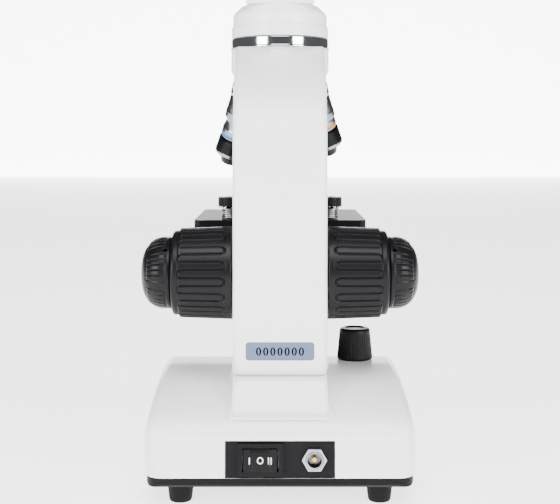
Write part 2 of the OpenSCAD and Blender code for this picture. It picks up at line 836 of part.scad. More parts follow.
// L-shaped bracket: a tongue and a plate in front of the carriage, with a shelf under the stage
module stage_bracket() {
    shelf_t = 4;
    stage_low = stage_z - stage_t;
    plate_low = carriage_low + 8;
    color(plain_steel) union() {
        translate([-tongue_w / 2, rear_y - carriage_front - 0.2, plate_low])
            cube([tongue_w, tongue_depth, stage_low - plate_low]);
        translate([-11, rear_y - carriage_front - 4.2, plate_low]) cube([22, 4, stage_low - plate_low]);
        translate([-11, rear_y - stage_back - 22, stage_low - shelf_t])
            cube([22, stage_back + 22 - carriage_front - 0.2, shelf_t]);
    }
}

module stage_plate() {
    color(satin_black) difference() {
        translate([0, axis_y, stage_z - stage_t]) linear_extrude(stage_t)
            round_rect(stage_w, stage_depth, 3.5);
        at_axis(stage_z - 20) cylinder(h = 40, r = condenser_r + condenser_wall);
        for (side = [-1, 1]) translate([side * clip_x, clip_y, stage_z - 20])
            cylinder(h = 40, r = clip_post_r);
        at_axis(stage_z - stage_t - 1) translate([0, -diaphragm_offset, 0]) cylinder(h = 4.5, r = pivot_r);
    }
}

// Clip posts with knurled heads, threaded into the stage
module clip_posts() {
    head_h = 4.6;
    flutes = 24;
    color(soft_black) for (side = [-1, 1]) translate([side * clip_x, clip_y, 0]) union() {
        translate([0, 0, stage_z - stage_t])
            cylinder(h = stage_t + clip_z + strip_t - stage_z + 0.1, r = clip_post_r);
        translate([0, 0, clip_z + strip_t + 0.1]) difference() {
            cylinder(h = head_h, r = 5.75);
            for (i = [0 : flutes - 1]) rotate(i * 360 / flutes) translate([5.95, 0, -1])
                cylinder(h = head_h, r = 0.42, $fn = 16);
            translate([0, 0, head_h]) cylinder(h = 1, r = 3.6, center = true);
        }
    }
}

// Coil springs round the posts: rings of wire swept along a helix
spring_r = 3.5;
spring_wire = 0.5;
spring_turns = 4;

module coil_spring(height) {
    steps = 20 * spring_turns;
    sides = 8;
    points = [for (i = [0 : steps], k = [0 : sides - 1]) let (
        a = i * 360 / 20, b = k * 360 / sides, r = spring_r + spring_wire * cos(b)
    ) [r * cos(a), r * sin(a), spring_wire + (height - 2 * spring_wire) * i / steps + spring_wire * sin(b)]];
    walls = [for (i = [0 : steps - 1], k = [0 : sides - 1]) let (m = (k + 1) % sides)
        [i * sides + k, i * sides + m, (i + 1) * sides + m, (i + 1) * sides + k]];
    ends = [
        [for (k = [sides - 1 : -1 : 0]) k], [for (k = [0 : sides - 1]) steps * sides + k]
    ];
    polyhedron(points, concat(walls, ends), convexity = 10);
}

module clip_springs() {
    color(plain_steel) for (side = [-1, 1]) translate([side * clip_x, clip_y, stage_z])
        coil_spring(clip_z - stage_z - 0.1);
}

// Clip: a ring on the post, a short thumb tab and a sprung finger that presses a slide down
module clip(side) {
    finger_w = 6.5;
    ring_r = 4.6;
    tab_reach = 5;
    tab_r = 2.6;
    finger = 34;
    color(plain_steel) translate([side * clip_x, clip_y, 0]) difference() {
        union() {
            translate([0, 0, clip_z]) cylinder(h = strip_t, r = ring_r);
            translate([0, 0, clip_z]) linear_extrude(strip_t) rotate(side > 0 ? -45 : 225) union() {
                translate([0, -tab_r]) square([tab_reach, 2 * tab_r]);
                translate([tab_reach, 0]) circle(r = tab_r);
            }
            rotate([0, 0, -side * 14]) rotate([90, 0, -90]) linear_extrude(finger_w, center = true) polygon([
                [2, clip_z], [10, clip_z], [finger - 4, stage_z + 1.2], [finger - 1, stage_z + 1.2],
                [finger + 2, stage_z + 3], [finger + 2, stage_z + 3.8], [finger - 1.3, stage_z + 2],
                [finger - 3.7, stage_z + 2], [10.3, clip_z + strip_t], [2, clip_z + strip_t]
            ]);
        }
        translate([0, 0, clip_z - 1]) cylinder(h = 3, r = clip_post_r + running_gap);
    }
}

module clip_left() {
    clip(-1);
}

module clip_right() {
    clip(1);
}

module condenser_holder() {
    color(soft_black) at_axis(condenser_low) difference() {
        cylinder(h = stage_z - condenser_low - 0.6, r = condenser_r + condenser_wall);
        translate([0, 0, -1]) cylinder(h = 40, r = condenser_r - 1);
        translate([0, 0, stage_z - condenser_low - 5.5]) cylinder(h = 40, r = condenser_r);
    }
}

module condenser_lens() {
    color(lens_blue) at_axis(stage_z - 5.5) intersection() {
        cylinder(h = 4.6, r = condenser_r);
        translate([0, 0, 4.6 - 16]) sphere(r = 16);
    }
}

// Screw that the diaphragm disc turns on
module diaphragm_pivot() {
    color(plain_steel) at_axis(0) translate([0, -diaphragm_offset, 0]) difference() {
        union() {
            translate([0, 0, disc_top - disc_t - 2.3]) cylinder(h = 2, r = 3.6);
            translate([0, 0, disc_top - disc_t - 0.4])
                cylinder(h = stage_z - stage_t + 3.4 - disc_top + disc_t, r = pivot_r);
            translate([0, 0, disc_top + 0.1]) cylinder(h = stage_z - stage_t - disc_top - 0.1, r = 3.6);
        }
        translate([0, 0, disc_top - disc_t - 2.3]) cube([5, 0.8, 1.6], center = true);
    }
}

// Disc with holes of six sizes, one of them on the optical axis
module diaphragm_disc() {
    color(soft_black) at_axis(disc_top - disc_t) translate([0, -diaphragm_offset, 0]) difference() {
        cylinder(h = disc_t, r = disc_r);
        translate([0, 0, -1]) cylinder(h = 4, r = pivot_r + running_gap);
        for (i = [0 : 5]) rotate([0, 0, 90 + i * 60]) translate([diaphragm_offset, 0, -1])
            cylinder(h = 4, r = 5.5 - 0.8 * i);
    }
}

// ---- Nosepiece ----

nose_pivot_r = 4;
lock_screw_r = 1.5;
lock_reach = collar_r - 1.2 - (spigot_r - 1.6);
nose_gap = 0.3;

module nosepiece_base() {
    color(soft_black) difference() {
        at_nose(nose_top - nose_base_t * nose_dir) cylinder(h = nose_base_t - nose_gap, r = turret_r - 1);
        at_nose(nose_top - 12 * nose_dir) cylinder(h = 20, r = nose_pivot_r);
        at_axis(head_z - 60) cylinder(h = 90, r = light_r + 1);
    }
}

// Shoulder screw that carries the disc
module nosepiece_pivot() {
    color(plain_steel) at_nose(nose_top - 10 * nose_dir) difference() {
        union() {
            cylinder(h = 10 + nose_depth, r = nose_pivot_r);
            translate([0, 0, 10 + nose_depth - 0.1]) cylinder(h = 2.2, r = 6.5);
        }
        translate([0, 0, 10 + nose_depth + 2.1]) cube([14, 1.4, 2], center = true);
    }
}

objective_turns = [0, -120, 120];

module nosepiece_disc() {
    boss_r = thread_r + 1.8;
    color(bright_chrome) difference() {
        union() {
            at_nose(nose_top) cylinder(h = 5, r = turret_r);
            at_nose(nose_top) cylinder(h = nose_depth - 0.4, r = turret_r - 9);
            for (turn = objective_turns) at_objective(turn) translate([0, 0, -6]) cylinder(h = 6, r = boss_r);
        }
        at_nose(nose_top) translate([0, 0, -1]) cylinder(h = 20, r = nose_pivot_r + running_gap);
        for (turn = objective_turns) at_objective(turn) {
            translate([0, 0, -thread_len]) cylinder(h = 10, r = thread_r);
            translate([0, 0, -20]) cylinder(h = 20, r = light_r);
        }
    }
}
thread_len = 4.5;

// Body of an objective, turned from [radius, distance from the shoulder] points
module objective(turn, steps) {
    length = steps[len(steps) - 1][1];
    tip_r = steps[len(steps) - 1][0];
    at_objective(turn) rotate_extrude() polygon(concat(
        [[light_r - 0.5, 0.4 - thread_len], [thread_r, 0.4 - thread_len], [thread_r, 0]], steps,
        [[tip_r - 2.4, length], [tip_r - 2.4, length - 2], [light_r - 2.5, length - 2], [light_r - 2.5, length - 8],
            [light_r - 0.5, length - 8]]
    ));
}

collar_steps = [[9, 0], [9.3, 2], [10.5 - 1, 9.6], [9.7, 10.5], [9.7, 14.3], [9.2, 14.5], [7.9, 16.5]];

module objective_low() {
    color(bright_chrome) objective(objective_turns[0], concat(collar_steps, [
        [8.8, 19], [9.1, 19.5], [9.1, 22], [8.3, 22.5], [7.6, 28]
    ]));
}

module objective_mid() {
    color(bright_chrome) objective(objective_turns[1], concat(collar_steps, [
        [8.8, 20], [9.1, 20.5], [9.1, 24], [8.1, 24.4], [8.1, 25], [9.4, 25.6], [9.8, 32], [10.1, 32],
        [10.1, 33.6], [9.6, 34], [6.5, 34.4], [5.4, 38]
    ]));
}

module objective_high() {
    color(bright_chrome) objective(objective_turns[2], concat(collar_steps, [
        [8.8, 21], [9.1, 21.5], [9.1, 26.5], [8.1, 27], [8.1, 27.8], [9.6, 28.4], [10, 36], [10.1, 36],
        [10.1, 37.6], [9.6, 38], [6.5, 38.6], [5.2, 44]
    ]));
}

// Front lens of each objective, just inside its tip
module objective_lenses() {
    sizes = [[7.6, 28], [5.4, 38], [5.2, 44]];
    color(lens_blue) for (i = [0 : 2]) at_objective(objective_turns[i])
        translate([0, 0, sizes[i][1] - 2]) cylinder(h = 1.6, r = sizes[i][0] - 2.4);
}

// ---- Head ----

ring_h = 5.7;
cup_z = head_z + ring_h + nose_gap;
cup_top_z = cup_z + 17.7;
cup_r = collar_r - 0.2;
spigot_depth = 7.5;
lock_z = head_z - 4.2;
lock_angle = 21.7;
head_light_r = 9;
tube_origin_z = cup_top_z + 13.6;

module lock_screw_place() {
    at_axis(lock_z) rotate([0, 0, lock_angle]) rotate([0, 90, 0]) translate([0, 0, collar_r - 1.2])
        children();
}

// Places children on the eyepiece's axis, with z along it
module on_tube(along) {
    at_axis(tube_origin_z) rotate([eyepiece_tilt, 0, 0]) translate([0, 0, along]) children();
}

module head_ring() {
    color(bright_chrome) at_axis(head_z) rotate_extrude() polygon([
        [spigot_r + running_gap, 0], [collar_r + 0.3, 0], [collar_r + 0.5, 0.5], [collar_r, 1.1],
        [collar_r, ring_h - 0.4], [collar_r - 0.4, ring_h], [spigot_r + running_gap, ring_h]
    ]);
}

// Grub screw whose tip runs in the groove of the spigot
module head_lock_screw() {
    color(plain_steel) lock_screw_place() difference() {
        translate([0, 0, -lock_reach]) cylinder(h = lock_reach + 0.8, r = lock_screw_r);
        cylinder(h = 3, r = 0.8, $fn = 6);
    }
}

module head_cup() {
    groove_r = spigot_r - 2;
    color(cast_white) at_axis(0) rotate_extrude() polygon([
        [head_light_r, head_z - spigot_depth], [spigot_r, head_z - spigot_depth], [spigot_r, lock_z - 1.8],
        [groove_r, lock_z - 1.8], [groove_r, lock_z + 1.8], [spigot_r, lock_z + 1.8], [spigot_r, cup_z],
        [cup_r - 0.5, cup_z], [cup_r, cup_z + 0.5], [cup_r, cup_z + 6.1], [cup_r - 0.8, cup_z + 6.1],
        [cup_r - 0.8, cup_z + 12], [cup_r - 1.2, cup_z + 12.9], [cup_r - 5.7, cup_top_z], [head_light_r, cup_top_z]
    ]);
}

housing_w = 37;
tube_outer_r = tube_r + tube_wall;

// Prism housing: a slab with a back, a sloping roof and a face square to the eyepiece tube
module prism_housing() {
    face_half = tube_outer_r + 0.6;
    low = cup_top_z;
    mouth = [tube_start * sin(eyepiece_tilt), tube_origin_z + tube_start * cos(eyepiece_tilt)];
    step = face_half * [-cos(eyepiece_tilt), sin(eyepiece_tilt)];
    back = cup_r - 4.5;
    color(cast_white) difference() {
        translate([0, axis_y, 0]) rotate([90, 0, -90]) linear_extrude(housing_w, center = true) polygon(concat(
            [[-cup_r + 6, low], [-back - 1, low + 3], [-back - 1, low + 16]],
            cubic([-back - 1, low + 16], [-back - 1, low + 24], [-back + 3, low + 30],
                mouth + step - [4, 1.2], 8),
            [mouth + step, mouth - step, [cup_r - 6.5, low + 2], [cup_r - 6.5, low]]
        ));
        at_axis(low - 1) cylinder(h = tube_origin_z - low + 1, r = head_light_r);
        on_tube(0) cylinder(h = tube_start + 1, r = head_light_r);
        translate([0, axis_y, tube_origin_z]) rotate([eyepiece_tilt / 2, 0, 0])
            cube([26, 20, 22], center = true);
    }
}

// Roof prism that turns the light towards the eyepiece
module prism() {
    half = 8.5;
    color(lens_blue) translate([0, axis_y, tube_origin_z]) rotate([eyepiece_tilt / 2, 0, 0])
        rotate([90, 0, -90]) linear_extrude(20, center = true)
            polygon([[-half, -half], [half, -half], [half, half * 0.6], [half * 0.2, half], [-half, half]]);
}

module eyepiece_tube() {
    color(cast_white) on_tube(tube_start) difference() {
        cylinder(h = tube_len, r = tube_outer_r);
        translate([0, 0, -1]) cylinder(h = tube_len + 2, r = tube_r);
    }
}

barrel_in = 30;
cup_len = 12;

// Eyepiece: a barrel in the tube, a flange on its end and a body up to the eyecup
module eyepiece_body() {
    body_r = tube_r + 1.9;
    flange = tube_outer_r + 0.2;
    body_len = eyepiece_len - cup_len + 4;
    color(soft_black) on_tube(tube_start + tube_len) rotate_extrude() polygon([
        [tube_r - 2, -barrel_in], [tube_r - running_gap, -barrel_in], [tube_r - running_gap, 0.2], [flange - 0.4, 0.2],
        [flange, 0.6], [flange, 5], [flange - 0.8, 6], [body_r, 7], [body_r, body_len], [tube_r - 2, body_len]
    ]);
}

module eyecup() {
    body_r = tube_r + 1.9;
    low = eyepiece_len - cup_len;
    color(satin_black) on_tube(tube_start + tube_len) rotate_extrude() polygon([
        [body_r, low], [eyecup_r - 1.2, low], [eyecup_r, low + 1.2], [eyecup_r, eyepiece_len - 1],
        [eyecup_r - 1.2, eyepiece_len], [eyecup_r - 2.6, eyepiece_len - 0.6], [tube_r - 3, low + 5.5],
        [tube_r - 3, low + 4.1], [body_r, low + 4.1]
    ]);
}

module eyepiece_lenses() {
    color(lens_blue) on_tube(tube_start + tube_len) {
        translate([0, 0, eyepiece_len - cup_len + 0.9]) cylinder(h = 3, r = tube_r - 2);
        translate([0, 0, 3 - barrel_in]) cylinder(h = 3, r = tube_r - 2);
    }
}

base_shell();
base_plate();
base_screws();
rubber_feet();
rear_panel();
switch_frame();
rocker();
jack_barrel();
jack_nut();
jack_pin();
dimmer_pot();
dimmer_shaft();
dimmer_knob();
driver_board();
lamp_housing();
lamp_board();
field_lens();
arm();
arm_bolts();
serial_plate();
upper_lamp();
upper_lamp_lens();
focus_bushes();
guide_rails();
carriage();
focus_rack();
coarse_shaft();
focus_pinion();
coarse_knob_left();
coarse_knob_right();
fine_shaft();
fine_knob_left();
fine_knob_right();
knob_set_screws();
stage_bracket();
stage_plate();
clip_posts();
clip_springs();
clip_left();
clip_right();
condenser_holder();
condenser_lens();
diaphragm_pivot();
diaphragm_disc();
nosepiece_base();
nosepiece_pivot();
nosepiece_disc();
objective_low();
objective_mid();
objective_high();
objective_lenses();
head_ring();
head_lock_screw();
head_cup();
prism_housing();
prism();
eyepiece_tube();
eyepiece_body();
eyecup();
eyepiece_lenses();
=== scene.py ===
"""Looks for a student compound microscope: cast skins, moulded grips, optics, marks and finishes.

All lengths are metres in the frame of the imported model: +Z up, -Y towards the user, +Y the power panel.
"""
import logging
import math
from dataclasses import dataclass, field
from enum import Enum
from typing import Sequence

import bmesh
import bpy
import numpy as np
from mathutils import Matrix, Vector


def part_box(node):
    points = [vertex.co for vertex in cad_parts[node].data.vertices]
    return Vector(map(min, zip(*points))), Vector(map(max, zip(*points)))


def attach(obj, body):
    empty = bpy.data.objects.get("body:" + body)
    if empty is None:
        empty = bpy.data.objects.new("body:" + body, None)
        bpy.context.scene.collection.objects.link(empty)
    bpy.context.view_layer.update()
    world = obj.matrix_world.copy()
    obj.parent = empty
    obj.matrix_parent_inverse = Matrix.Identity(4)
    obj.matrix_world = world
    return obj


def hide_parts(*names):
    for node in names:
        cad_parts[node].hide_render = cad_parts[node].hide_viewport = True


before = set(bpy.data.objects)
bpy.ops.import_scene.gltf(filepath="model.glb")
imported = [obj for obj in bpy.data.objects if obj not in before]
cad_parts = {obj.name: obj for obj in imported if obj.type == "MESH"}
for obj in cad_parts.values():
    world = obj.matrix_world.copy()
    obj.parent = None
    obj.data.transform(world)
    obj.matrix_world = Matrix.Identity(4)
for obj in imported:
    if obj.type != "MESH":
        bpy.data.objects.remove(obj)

LOG = logging.getLogger("microscope")
MM = 0.001
NOSE_TILT = math.radians(17)
NOSE_CIRCLE = 22 * MM
NOSE_DROP = 33.4 * MM
GLASS_IOR = 1.5
COAT_ROUGHNESS = 0.1
DUST_COLOUR = (0.4, 0.38, 0.36, 1)
KNOB_SEGMENTS = 720
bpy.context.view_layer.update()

Array = np.ndarray


# ---------------------------------------------------------------- shared shader groups


class Socket(Enum):
    """Kinds of socket that a shader node group can have."""

    NUMBER = "NodeSocketFloat"
    COLOUR = "NodeSocketColor"


@dataclass(frozen=True)
class GroupPort:
    """One named input or output of a shader node group."""

    name: str
    kind: Socket
    start: float | tuple[float, ...] | None = None


def open_group(name: str, inputs: Sequence[GroupPort], outputs: Sequence[GroupPort]):
    """Makes an empty shader node group.

    Args:
        name: the group's name.
        inputs: its input ports, with the values they start from.
        outputs: its output ports.

    Returns:
        The node tree, its input node and its output node.
    """
    tree = bpy.data.node_groups.new(name, "ShaderNodeTree")
    for port in inputs:
        item = tree.interface.new_socket(port.name, in_out="INPUT", socket_type=port.kind.value)
        if port.start is not None:
            item.default_value = port.start
    for port in outputs:
        tree.interface.new_socket(port.name, in_out="OUTPUT", socket_type=port.kind.value)
    return tree, tree.nodes.new("NodeGroupInput"), tree.nodes.new("NodeGroupOutput")


def math_node(tree, operation: str, first, second=None, third=None):
    """Adds a Math node whose operands are numbers or sockets.

    Args:
        tree: the node tree.
        operation: the Math node's operation.
        first: a number or an output socket.
        second: the same, or None.
        third: the same, or None.

    Returns:
        The node's output socket.
    """
    node = tree.nodes.new("ShaderNodeMath")
    node.operation = operation
    for place, value in enumerate((first, second, third)):
        if value is None:
            continue
        if isinstance(value, (int, float)):
            node.inputs[place].default_value = value
        else:
            tree.links.new(value, node.inputs[place])
    return node.outputs[0]


def set_inputs(node, values: dict[str, object]) -> None:
    """Sets a node's inputs, by name."""
    for name, value in values.items():
        node.inputs[name].default_value = value


def mix_node(tree, amount, first, second):
    """Adds a colour mix of two colour sockets and returns its colour socket; amount 0 gives the first."""
    mix = tree.nodes.new("ShaderNodeMix")
    mix.data_type = "RGBA"
    for place, socket in ((0, amount), (6, first), (7, second)):
        tree.links.new(socket, mix.inputs[place])
    return mix.outputs[2]


def noise_node(tree, vector, scale, detail: float):
    """Adds a Noise texture read at a vector.

    Args:
        tree: the node tree.
        vector: the socket with the place.
        scale: a number or a socket.
        detail: how many octaves are added.

    Returns:
        The noise's value socket.
    """
    node = tree.nodes.new("ShaderNodeTexNoise")
    node.inputs["Detail"].default_value = detail
    tree.links.new(vector, node.inputs["Vector"])
    if isinstance(scale, (int, float)):
        node.inputs["Scale"].default_value = scale
    else:
        tree.links.new(scale, node.inputs["Scale"])
    return node.outputs["Fac"]


class SharedGroups:
    """Node groups that several finishes use, each built once."""

    def __init__(self) -> None:
        """Builds the groups for tone, grain and settled dust."""
        self.tone = self._tone()
        self.grain = self._grain()
        self.dust = self._dust()

    @staticmethod
    def _tone():
        """Colour that drifts slowly between a base tone and a second tone."""
        tree, ins, outs = open_group(
            "tone_drift",
            [GroupPort("Base", Socket.COLOUR), GroupPort("Second", Socket.COLOUR),
             GroupPort("Scale", Socket.NUMBER), GroupPort("Amount", Socket.NUMBER)],
            [GroupPort("Colour", Socket.COLOUR)])
        place = tree.nodes.new("ShaderNodeTexCoord").outputs["Object"]
        drift = noise_node(tree, place, ins.outputs["Scale"], 3.0)
        mask = math_node(tree, "MULTIPLY", drift, ins.outputs["Amount"])
        mixed = mix_node(tree, mask, ins.outputs["Base"], ins.outputs["Second"])
        tree.links.new(mixed, outs.inputs["Colour"])
        return tree

    @staticmethod
    def _grain():
        """Height of a moulded or painted grain and a roughness that follows it."""
        tree, ins, outs = open_group(
            "surface_grain",
            [GroupPort("Scale", Socket.NUMBER), GroupPort("Roughness", Socket.NUMBER),
             GroupPort("Spread", Socket.NUMBER)],
            [GroupPort("Height", Socket.NUMBER), GroupPort("Roughness", Socket.NUMBER)])
        place = tree.nodes.new("ShaderNodeTexCoord").outputs["Object"]
        fine = noise_node(tree, place, ins.outputs["Scale"], 4.0)
        broad = noise_node(tree, place, 55.0, 2.0)
        both = math_node(tree, "MULTIPLY_ADD", broad, 0.35, fine)
        centred = math_node(tree, "SUBTRACT", both, 0.67)
        rough = math_node(tree, "MULTIPLY_ADD", centred, ins.outputs["Spread"], ins.outputs["Roughness"])
        tree.links.new(fine, outs.inputs["Height"])
        tree.links.new(rough, outs.inputs["Roughness"])
        return tree

    @staticmethod
    def _dust():
        """Colour with a thin film of dust on faces that look up."""
        tree, ins, outs = open_group(
            "settled_dust",
            [GroupPort("Colour", Socket.COLOUR), GroupPort("Dust", Socket.COLOUR, DUST_COLOUR),
             GroupPort("Amount", Socket.NUMBER)],
            [GroupPort("Colour", Socket.COLOUR)])
        normal = tree.nodes.new("ShaderNodeNewGeometry").outputs["Normal"]
        split = tree.nodes.new("ShaderNodeSeparateXYZ")
        tree.links.new(normal, split.inputs[0])
        place = tree.nodes.new("ShaderNodeTexCoord").outputs["Object"]
        specks = noise_node(tree, place, 420.0, 5.0)
        upward = math_node(tree, "MAXIMUM", split.outputs["Z"], 0.0)
        film = math_node(tree, "MULTIPLY", upward, specks)
        amount = math_node(tree, "MULTIPLY", film, ins.outputs["Amount"])
        mixed = mix_node(tree, amount, ins.outputs["Colour"], ins.outputs["Dust"])
        tree.links.new(mixed, outs.inputs["Colour"])
        return tree


GROUPS = SharedGroups()


# ---------------------------------------------------------------- finishes


@dataclass(frozen=True)
class Finish:
    """A surface finish: two tones, a grain and a gloss.

    Colours are linear RGB. grain_scale is in cycles per metre, grain_height in metres.
    """

    name: str
    colour: tuple[float, float, float]
    second: tuple[float, float, float]
    roughness: float = 0.4
    spread: float = 0.1
    metallic: float = 0.0
    specular: float = 0.5
    grain_scale: float = 2600.0
    grain_height: float = 0.00002
    tone_scale: float = 40.0
    tone_amount: float = 0.6
    dust: float = 0.0
    coat: float = 0.0
    transmission: float = 0.0

    def material(self):
        """The Blender material of this finish, built the first time it is asked for."""
        ready = bpy.data.materials.get(f"look_{self.name}")
        return ready if ready is not None else self._build()

    def _build(self):
        """Builds the node tree: tone and dust feed the colour, grain feeds roughness and bump.

        Returns:
            The new material.
        """
        made = bpy.data.materials.new(f"look_{self.name}")
        made.use_nodes = True
        tree = made.node_tree
        shader = tree.nodes["Principled BSDF"]
        set_inputs(shader, {"Metallic": self.metallic, "Specular IOR Level": self.specular, "IOR": GLASS_IOR,
                            "Coat Weight": self.coat, "Coat Roughness": COAT_ROUGHNESS,
                            "Transmission Weight": self.transmission})
        tone = self._group(tree, GROUPS.tone)
        set_inputs(tone, {"Base": (*self.colour, 1), "Second": (*self.second, 1), "Scale": self.tone_scale,
                          "Amount": self.tone_amount})
        colour = tone.outputs["Colour"]
        if self.dust > 0:
            dust = self._group(tree, GROUPS.dust)
            set_inputs(dust, {"Amount": self.dust})
            tree.links.new(colour, dust.inputs["Colour"])
            colour = dust.outputs["Colour"]
        tree.links.new(colour, shader.inputs["Base Color"])
        grain = self._group(tree, GROUPS.grain)
        set_inputs(grain, {"Scale": self.grain_scale, "Roughness": self.roughness, "Spread": self.spread})
        tree.links.new(grain.outputs["Roughness"], shader.inputs["Roughness"])
        bump = tree.nodes.new("ShaderNodeBump")
        set_inputs(bump, {"Strength": 1.0, "Distance": self.grain_height})
        tree.links.new(grain.outputs["Height"], bump.inputs["Height"])
        tree.links.new(bump.outputs["Normal"], shader.inputs["Normal"])
        return made

    @staticmethod
    def _group(tree, group):
        """Places a shared group in a material's tree."""
        node = tree.nodes.new("ShaderNodeGroup")
        node.node_tree = group
        return node


ENAMEL = Finish("white_enamel", (0.84, 0.83, 0.83), (0.79, 0.785, 0.79), 0.34, 0.14, specular=0.45,
                grain_scale=1500.0, grain_height=0.000012, tone_scale=14.0, dust=0.02, coat=0.15)
BLACK_PAINT = Finish("black_paint", (0.0028, 0.0026, 0.0034), (0.005, 0.0047, 0.0056), 0.46, 0.14, specular=0.1,
                     dust=0.003, grain_scale=2200.0, grain_height=0.00002)
PLASTIC = Finish("black_plastic", (0.003, 0.0028, 0.0034), (0.0055, 0.005, 0.0058), 0.38, 0.16, specular=0.12,
                 dust=0.003, grain_scale=3000.0, grain_height=0.00002)
GRIP = Finish("grip_plastic", (0.003, 0.0028, 0.0036), (0.0055, 0.005, 0.006), 0.34, 0.14, specular=0.14,
              dust=0.004, grain_scale=2600.0, grain_height=0.00002, tone_scale=60.0)
PANEL = Finish("panel_plastic", (0.0032, 0.003, 0.0042), (0.0055, 0.0052, 0.0064), 0.42, 0.16, specular=0.1,
               grain_scale=1800.0, grain_height=0.00004)
GLOSS_BLACK = Finish("gloss_black", (0.0025, 0.0025, 0.003), (0.004, 0.004, 0.0045), 0.26, 0.1, specular=0.12,
                     dust=0.003)
RUBBER = Finish("black_rubber", (0.0034, 0.0034, 0.0034), (0.006, 0.006, 0.006), 0.6, 0.2, specular=0.1,
                dust=0.006, grain_scale=1600.0, grain_height=0.00004)
CHROME = Finish("bright_chrome", (0.56, 0.59, 0.62), (0.48, 0.51, 0.54), 0.09, 0.08, metallic=1.0,
                grain_scale=900.0, grain_height=0.000003)
SATIN = Finish("satin_silver", (0.3, 0.325, 0.355), (0.22, 0.24, 0.27), 0.24, 0.12, metallic=1.0,
               grain_scale=1200.0, grain_height=0.000006)
GUNMETAL = Finish("gunmetal", (0.16, 0.165, 0.175), (0.1, 0.102, 0.11), 0.27, 0.12, metallic=1.0,
                  grain_scale=1400.0, grain_height=0.00001)
STEEL = Finish("plain_steel", (0.42, 0.43, 0.44), (0.3, 0.31, 0.33), 0.32, 0.2, metallic=1.0,
               grain_scale=2000.0, grain_height=0.00001)
BRASS = Finish("machined_brass", (0.62, 0.42, 0.13), (0.5, 0.34, 0.11), 0.3, 0.2, metallic=1.0,
               grain_scale=1800.0, grain_height=0.00001)
GLASS = Finish("coated_glass", (0.82, 0.9, 0.98), (0.7, 0.82, 0.98), 0.04, 0.02, transmission=0.85,
               grain_height=0.000001)
BOARD = Finish("circuit_board", (0.012, 0.09, 0.035), (0.02, 0.13, 0.05), 0.35, 0.2)
PLATE = Finish("plate_blue", (0.1, 0.128, 0.205), (0.09, 0.118, 0.19), 0.4, 0.1, specular=0.2,
               grain_height=0.000008)
PLATE_INK = Finish("plate_ink", (0.0015, 0.0018, 0.0035), (0.002, 0.0024, 0.0045), 0.6, 0.1, specular=0.05,
                   grain_height=0.000004)
MARK_WHITE = Finish("mark_white", (0.8, 0.8, 0.8), (0.7, 0.7, 0.7), 0.5, 0.1, grain_height=0.000004)
BAND_BLUE = Finish("band_blue", (0.006, 0.09, 0.32), (0.004, 0.07, 0.26), 0.3, 0.1, specular=0.3)
BAND_PALE = Finish("band_pale_blue", (0.04, 0.22, 0.5), (0.03, 0.18, 0.42), 0.3, 0.1, specular=0.3)
BAND_YELLOW = Finish("band_yellow", (0.5, 0.2, 0.006), (0.42, 0.16, 0.005), 0.3, 0.1, specular=0.3)
BAND_RED = Finish("band_red", (0.6, 0.03, 0.02), (0.5, 0.02, 0.015), 0.3, 0.1, coat=0.3)


# ---------------------------------------------------------------- meshes from grids


def grid_faces(rows: int, cols: int, close_rows: bool, close_cols: bool) -> Array:
    """Quads that join the points of a grid, as rows of four indices."""
    i, j = np.meshgrid(np.arange(rows if close_rows else rows - 1), np.arange(cols if close_cols else cols - 1),
                       indexing="ij")
    down, right = (i + 1) % rows, (j + 1) % cols
    return np.stack([i * cols + j, down * cols + j, down * cols + right, i * cols + right], axis=-1).reshape(-1, 4)


class Ends(Enum):
    """Which end rows of a grid are closed with a face."""

    NONE = ()
    FIRST = (0,)
    LAST = (-1,)
    BOTH = (0, -1)


@dataclass
class Surface:
    """Points and faces of one piece before it becomes a mesh."""

    points: list[Array] = field(default_factory=list)
    faces: list[list[int]] = field(default_factory=list)
    slots: list[int] = field(default_factory=list)
    count: int = 0

    def add_grid(self, grid: Array, close_rows: bool = False, close_cols: bool = False,
                 slot: int | Array = 0, caps: Ends = Ends.NONE) -> "Surface":
        """Adds a grid of points shaped (rows, columns, 3).

        Args:
            grid: the points.
            close_rows: the last row joins the first.
            close_cols: the last column joins the first.
            slot: a material slot, or one for each row of faces.
            caps: the end rows that are closed with one face each.

        Returns:
            The surface itself.
        """
        rows, cols = grid.shape[:2]
        quads = grid_faces(rows, cols, close_rows, close_cols) + self.count
        per_row = cols if close_cols else cols - 1
        self.slots += np.repeat(slot, per_row).tolist() if isinstance(slot, np.ndarray) else [slot] * len(quads)
        self.faces += quads.tolist()
        for end in caps.value:
            self.faces.append((np.arange(cols) + self.count + (rows - 1) * cols * -end).tolist())
            self.slots.append(int(self.slots[-1]))
        self.points.append(grid.reshape(-1, 3))
        self.count += rows * cols
        return self

    def mesh(self, name: str, smooth_angle: float):
        """Makes the mesh: equal points are merged, faces point outwards and sharp edges are marked.

        Args:
            name: the mesh's name.
            smooth_angle: edges that bend more than this, in degrees, stay sharp.

        Returns:
            The Blender mesh.
        """
        made = bpy.data.meshes.new(name)
        made.from_pydata(np.concatenate(self.points).tolist(), [], self.faces)
        made.polygons.foreach_set("material_index", np.array(self.slots, dtype=np.int32))
        work = bmesh.new()
        work.from_mesh(made)
        bmesh.ops.remove_doubles(work, verts=work.verts, dist=2e-6)
        bmesh.ops.dissolve_degenerate(work, edges=work.edges, dist=1e-6)
        bmesh.ops.recalc_face_normals(work, faces=work.faces)
        work.to_mesh(made)
        work.free()
        made.shade_smooth()
        made.set_sharp_from_angle(angle=math.radians(smooth_angle))
        return made


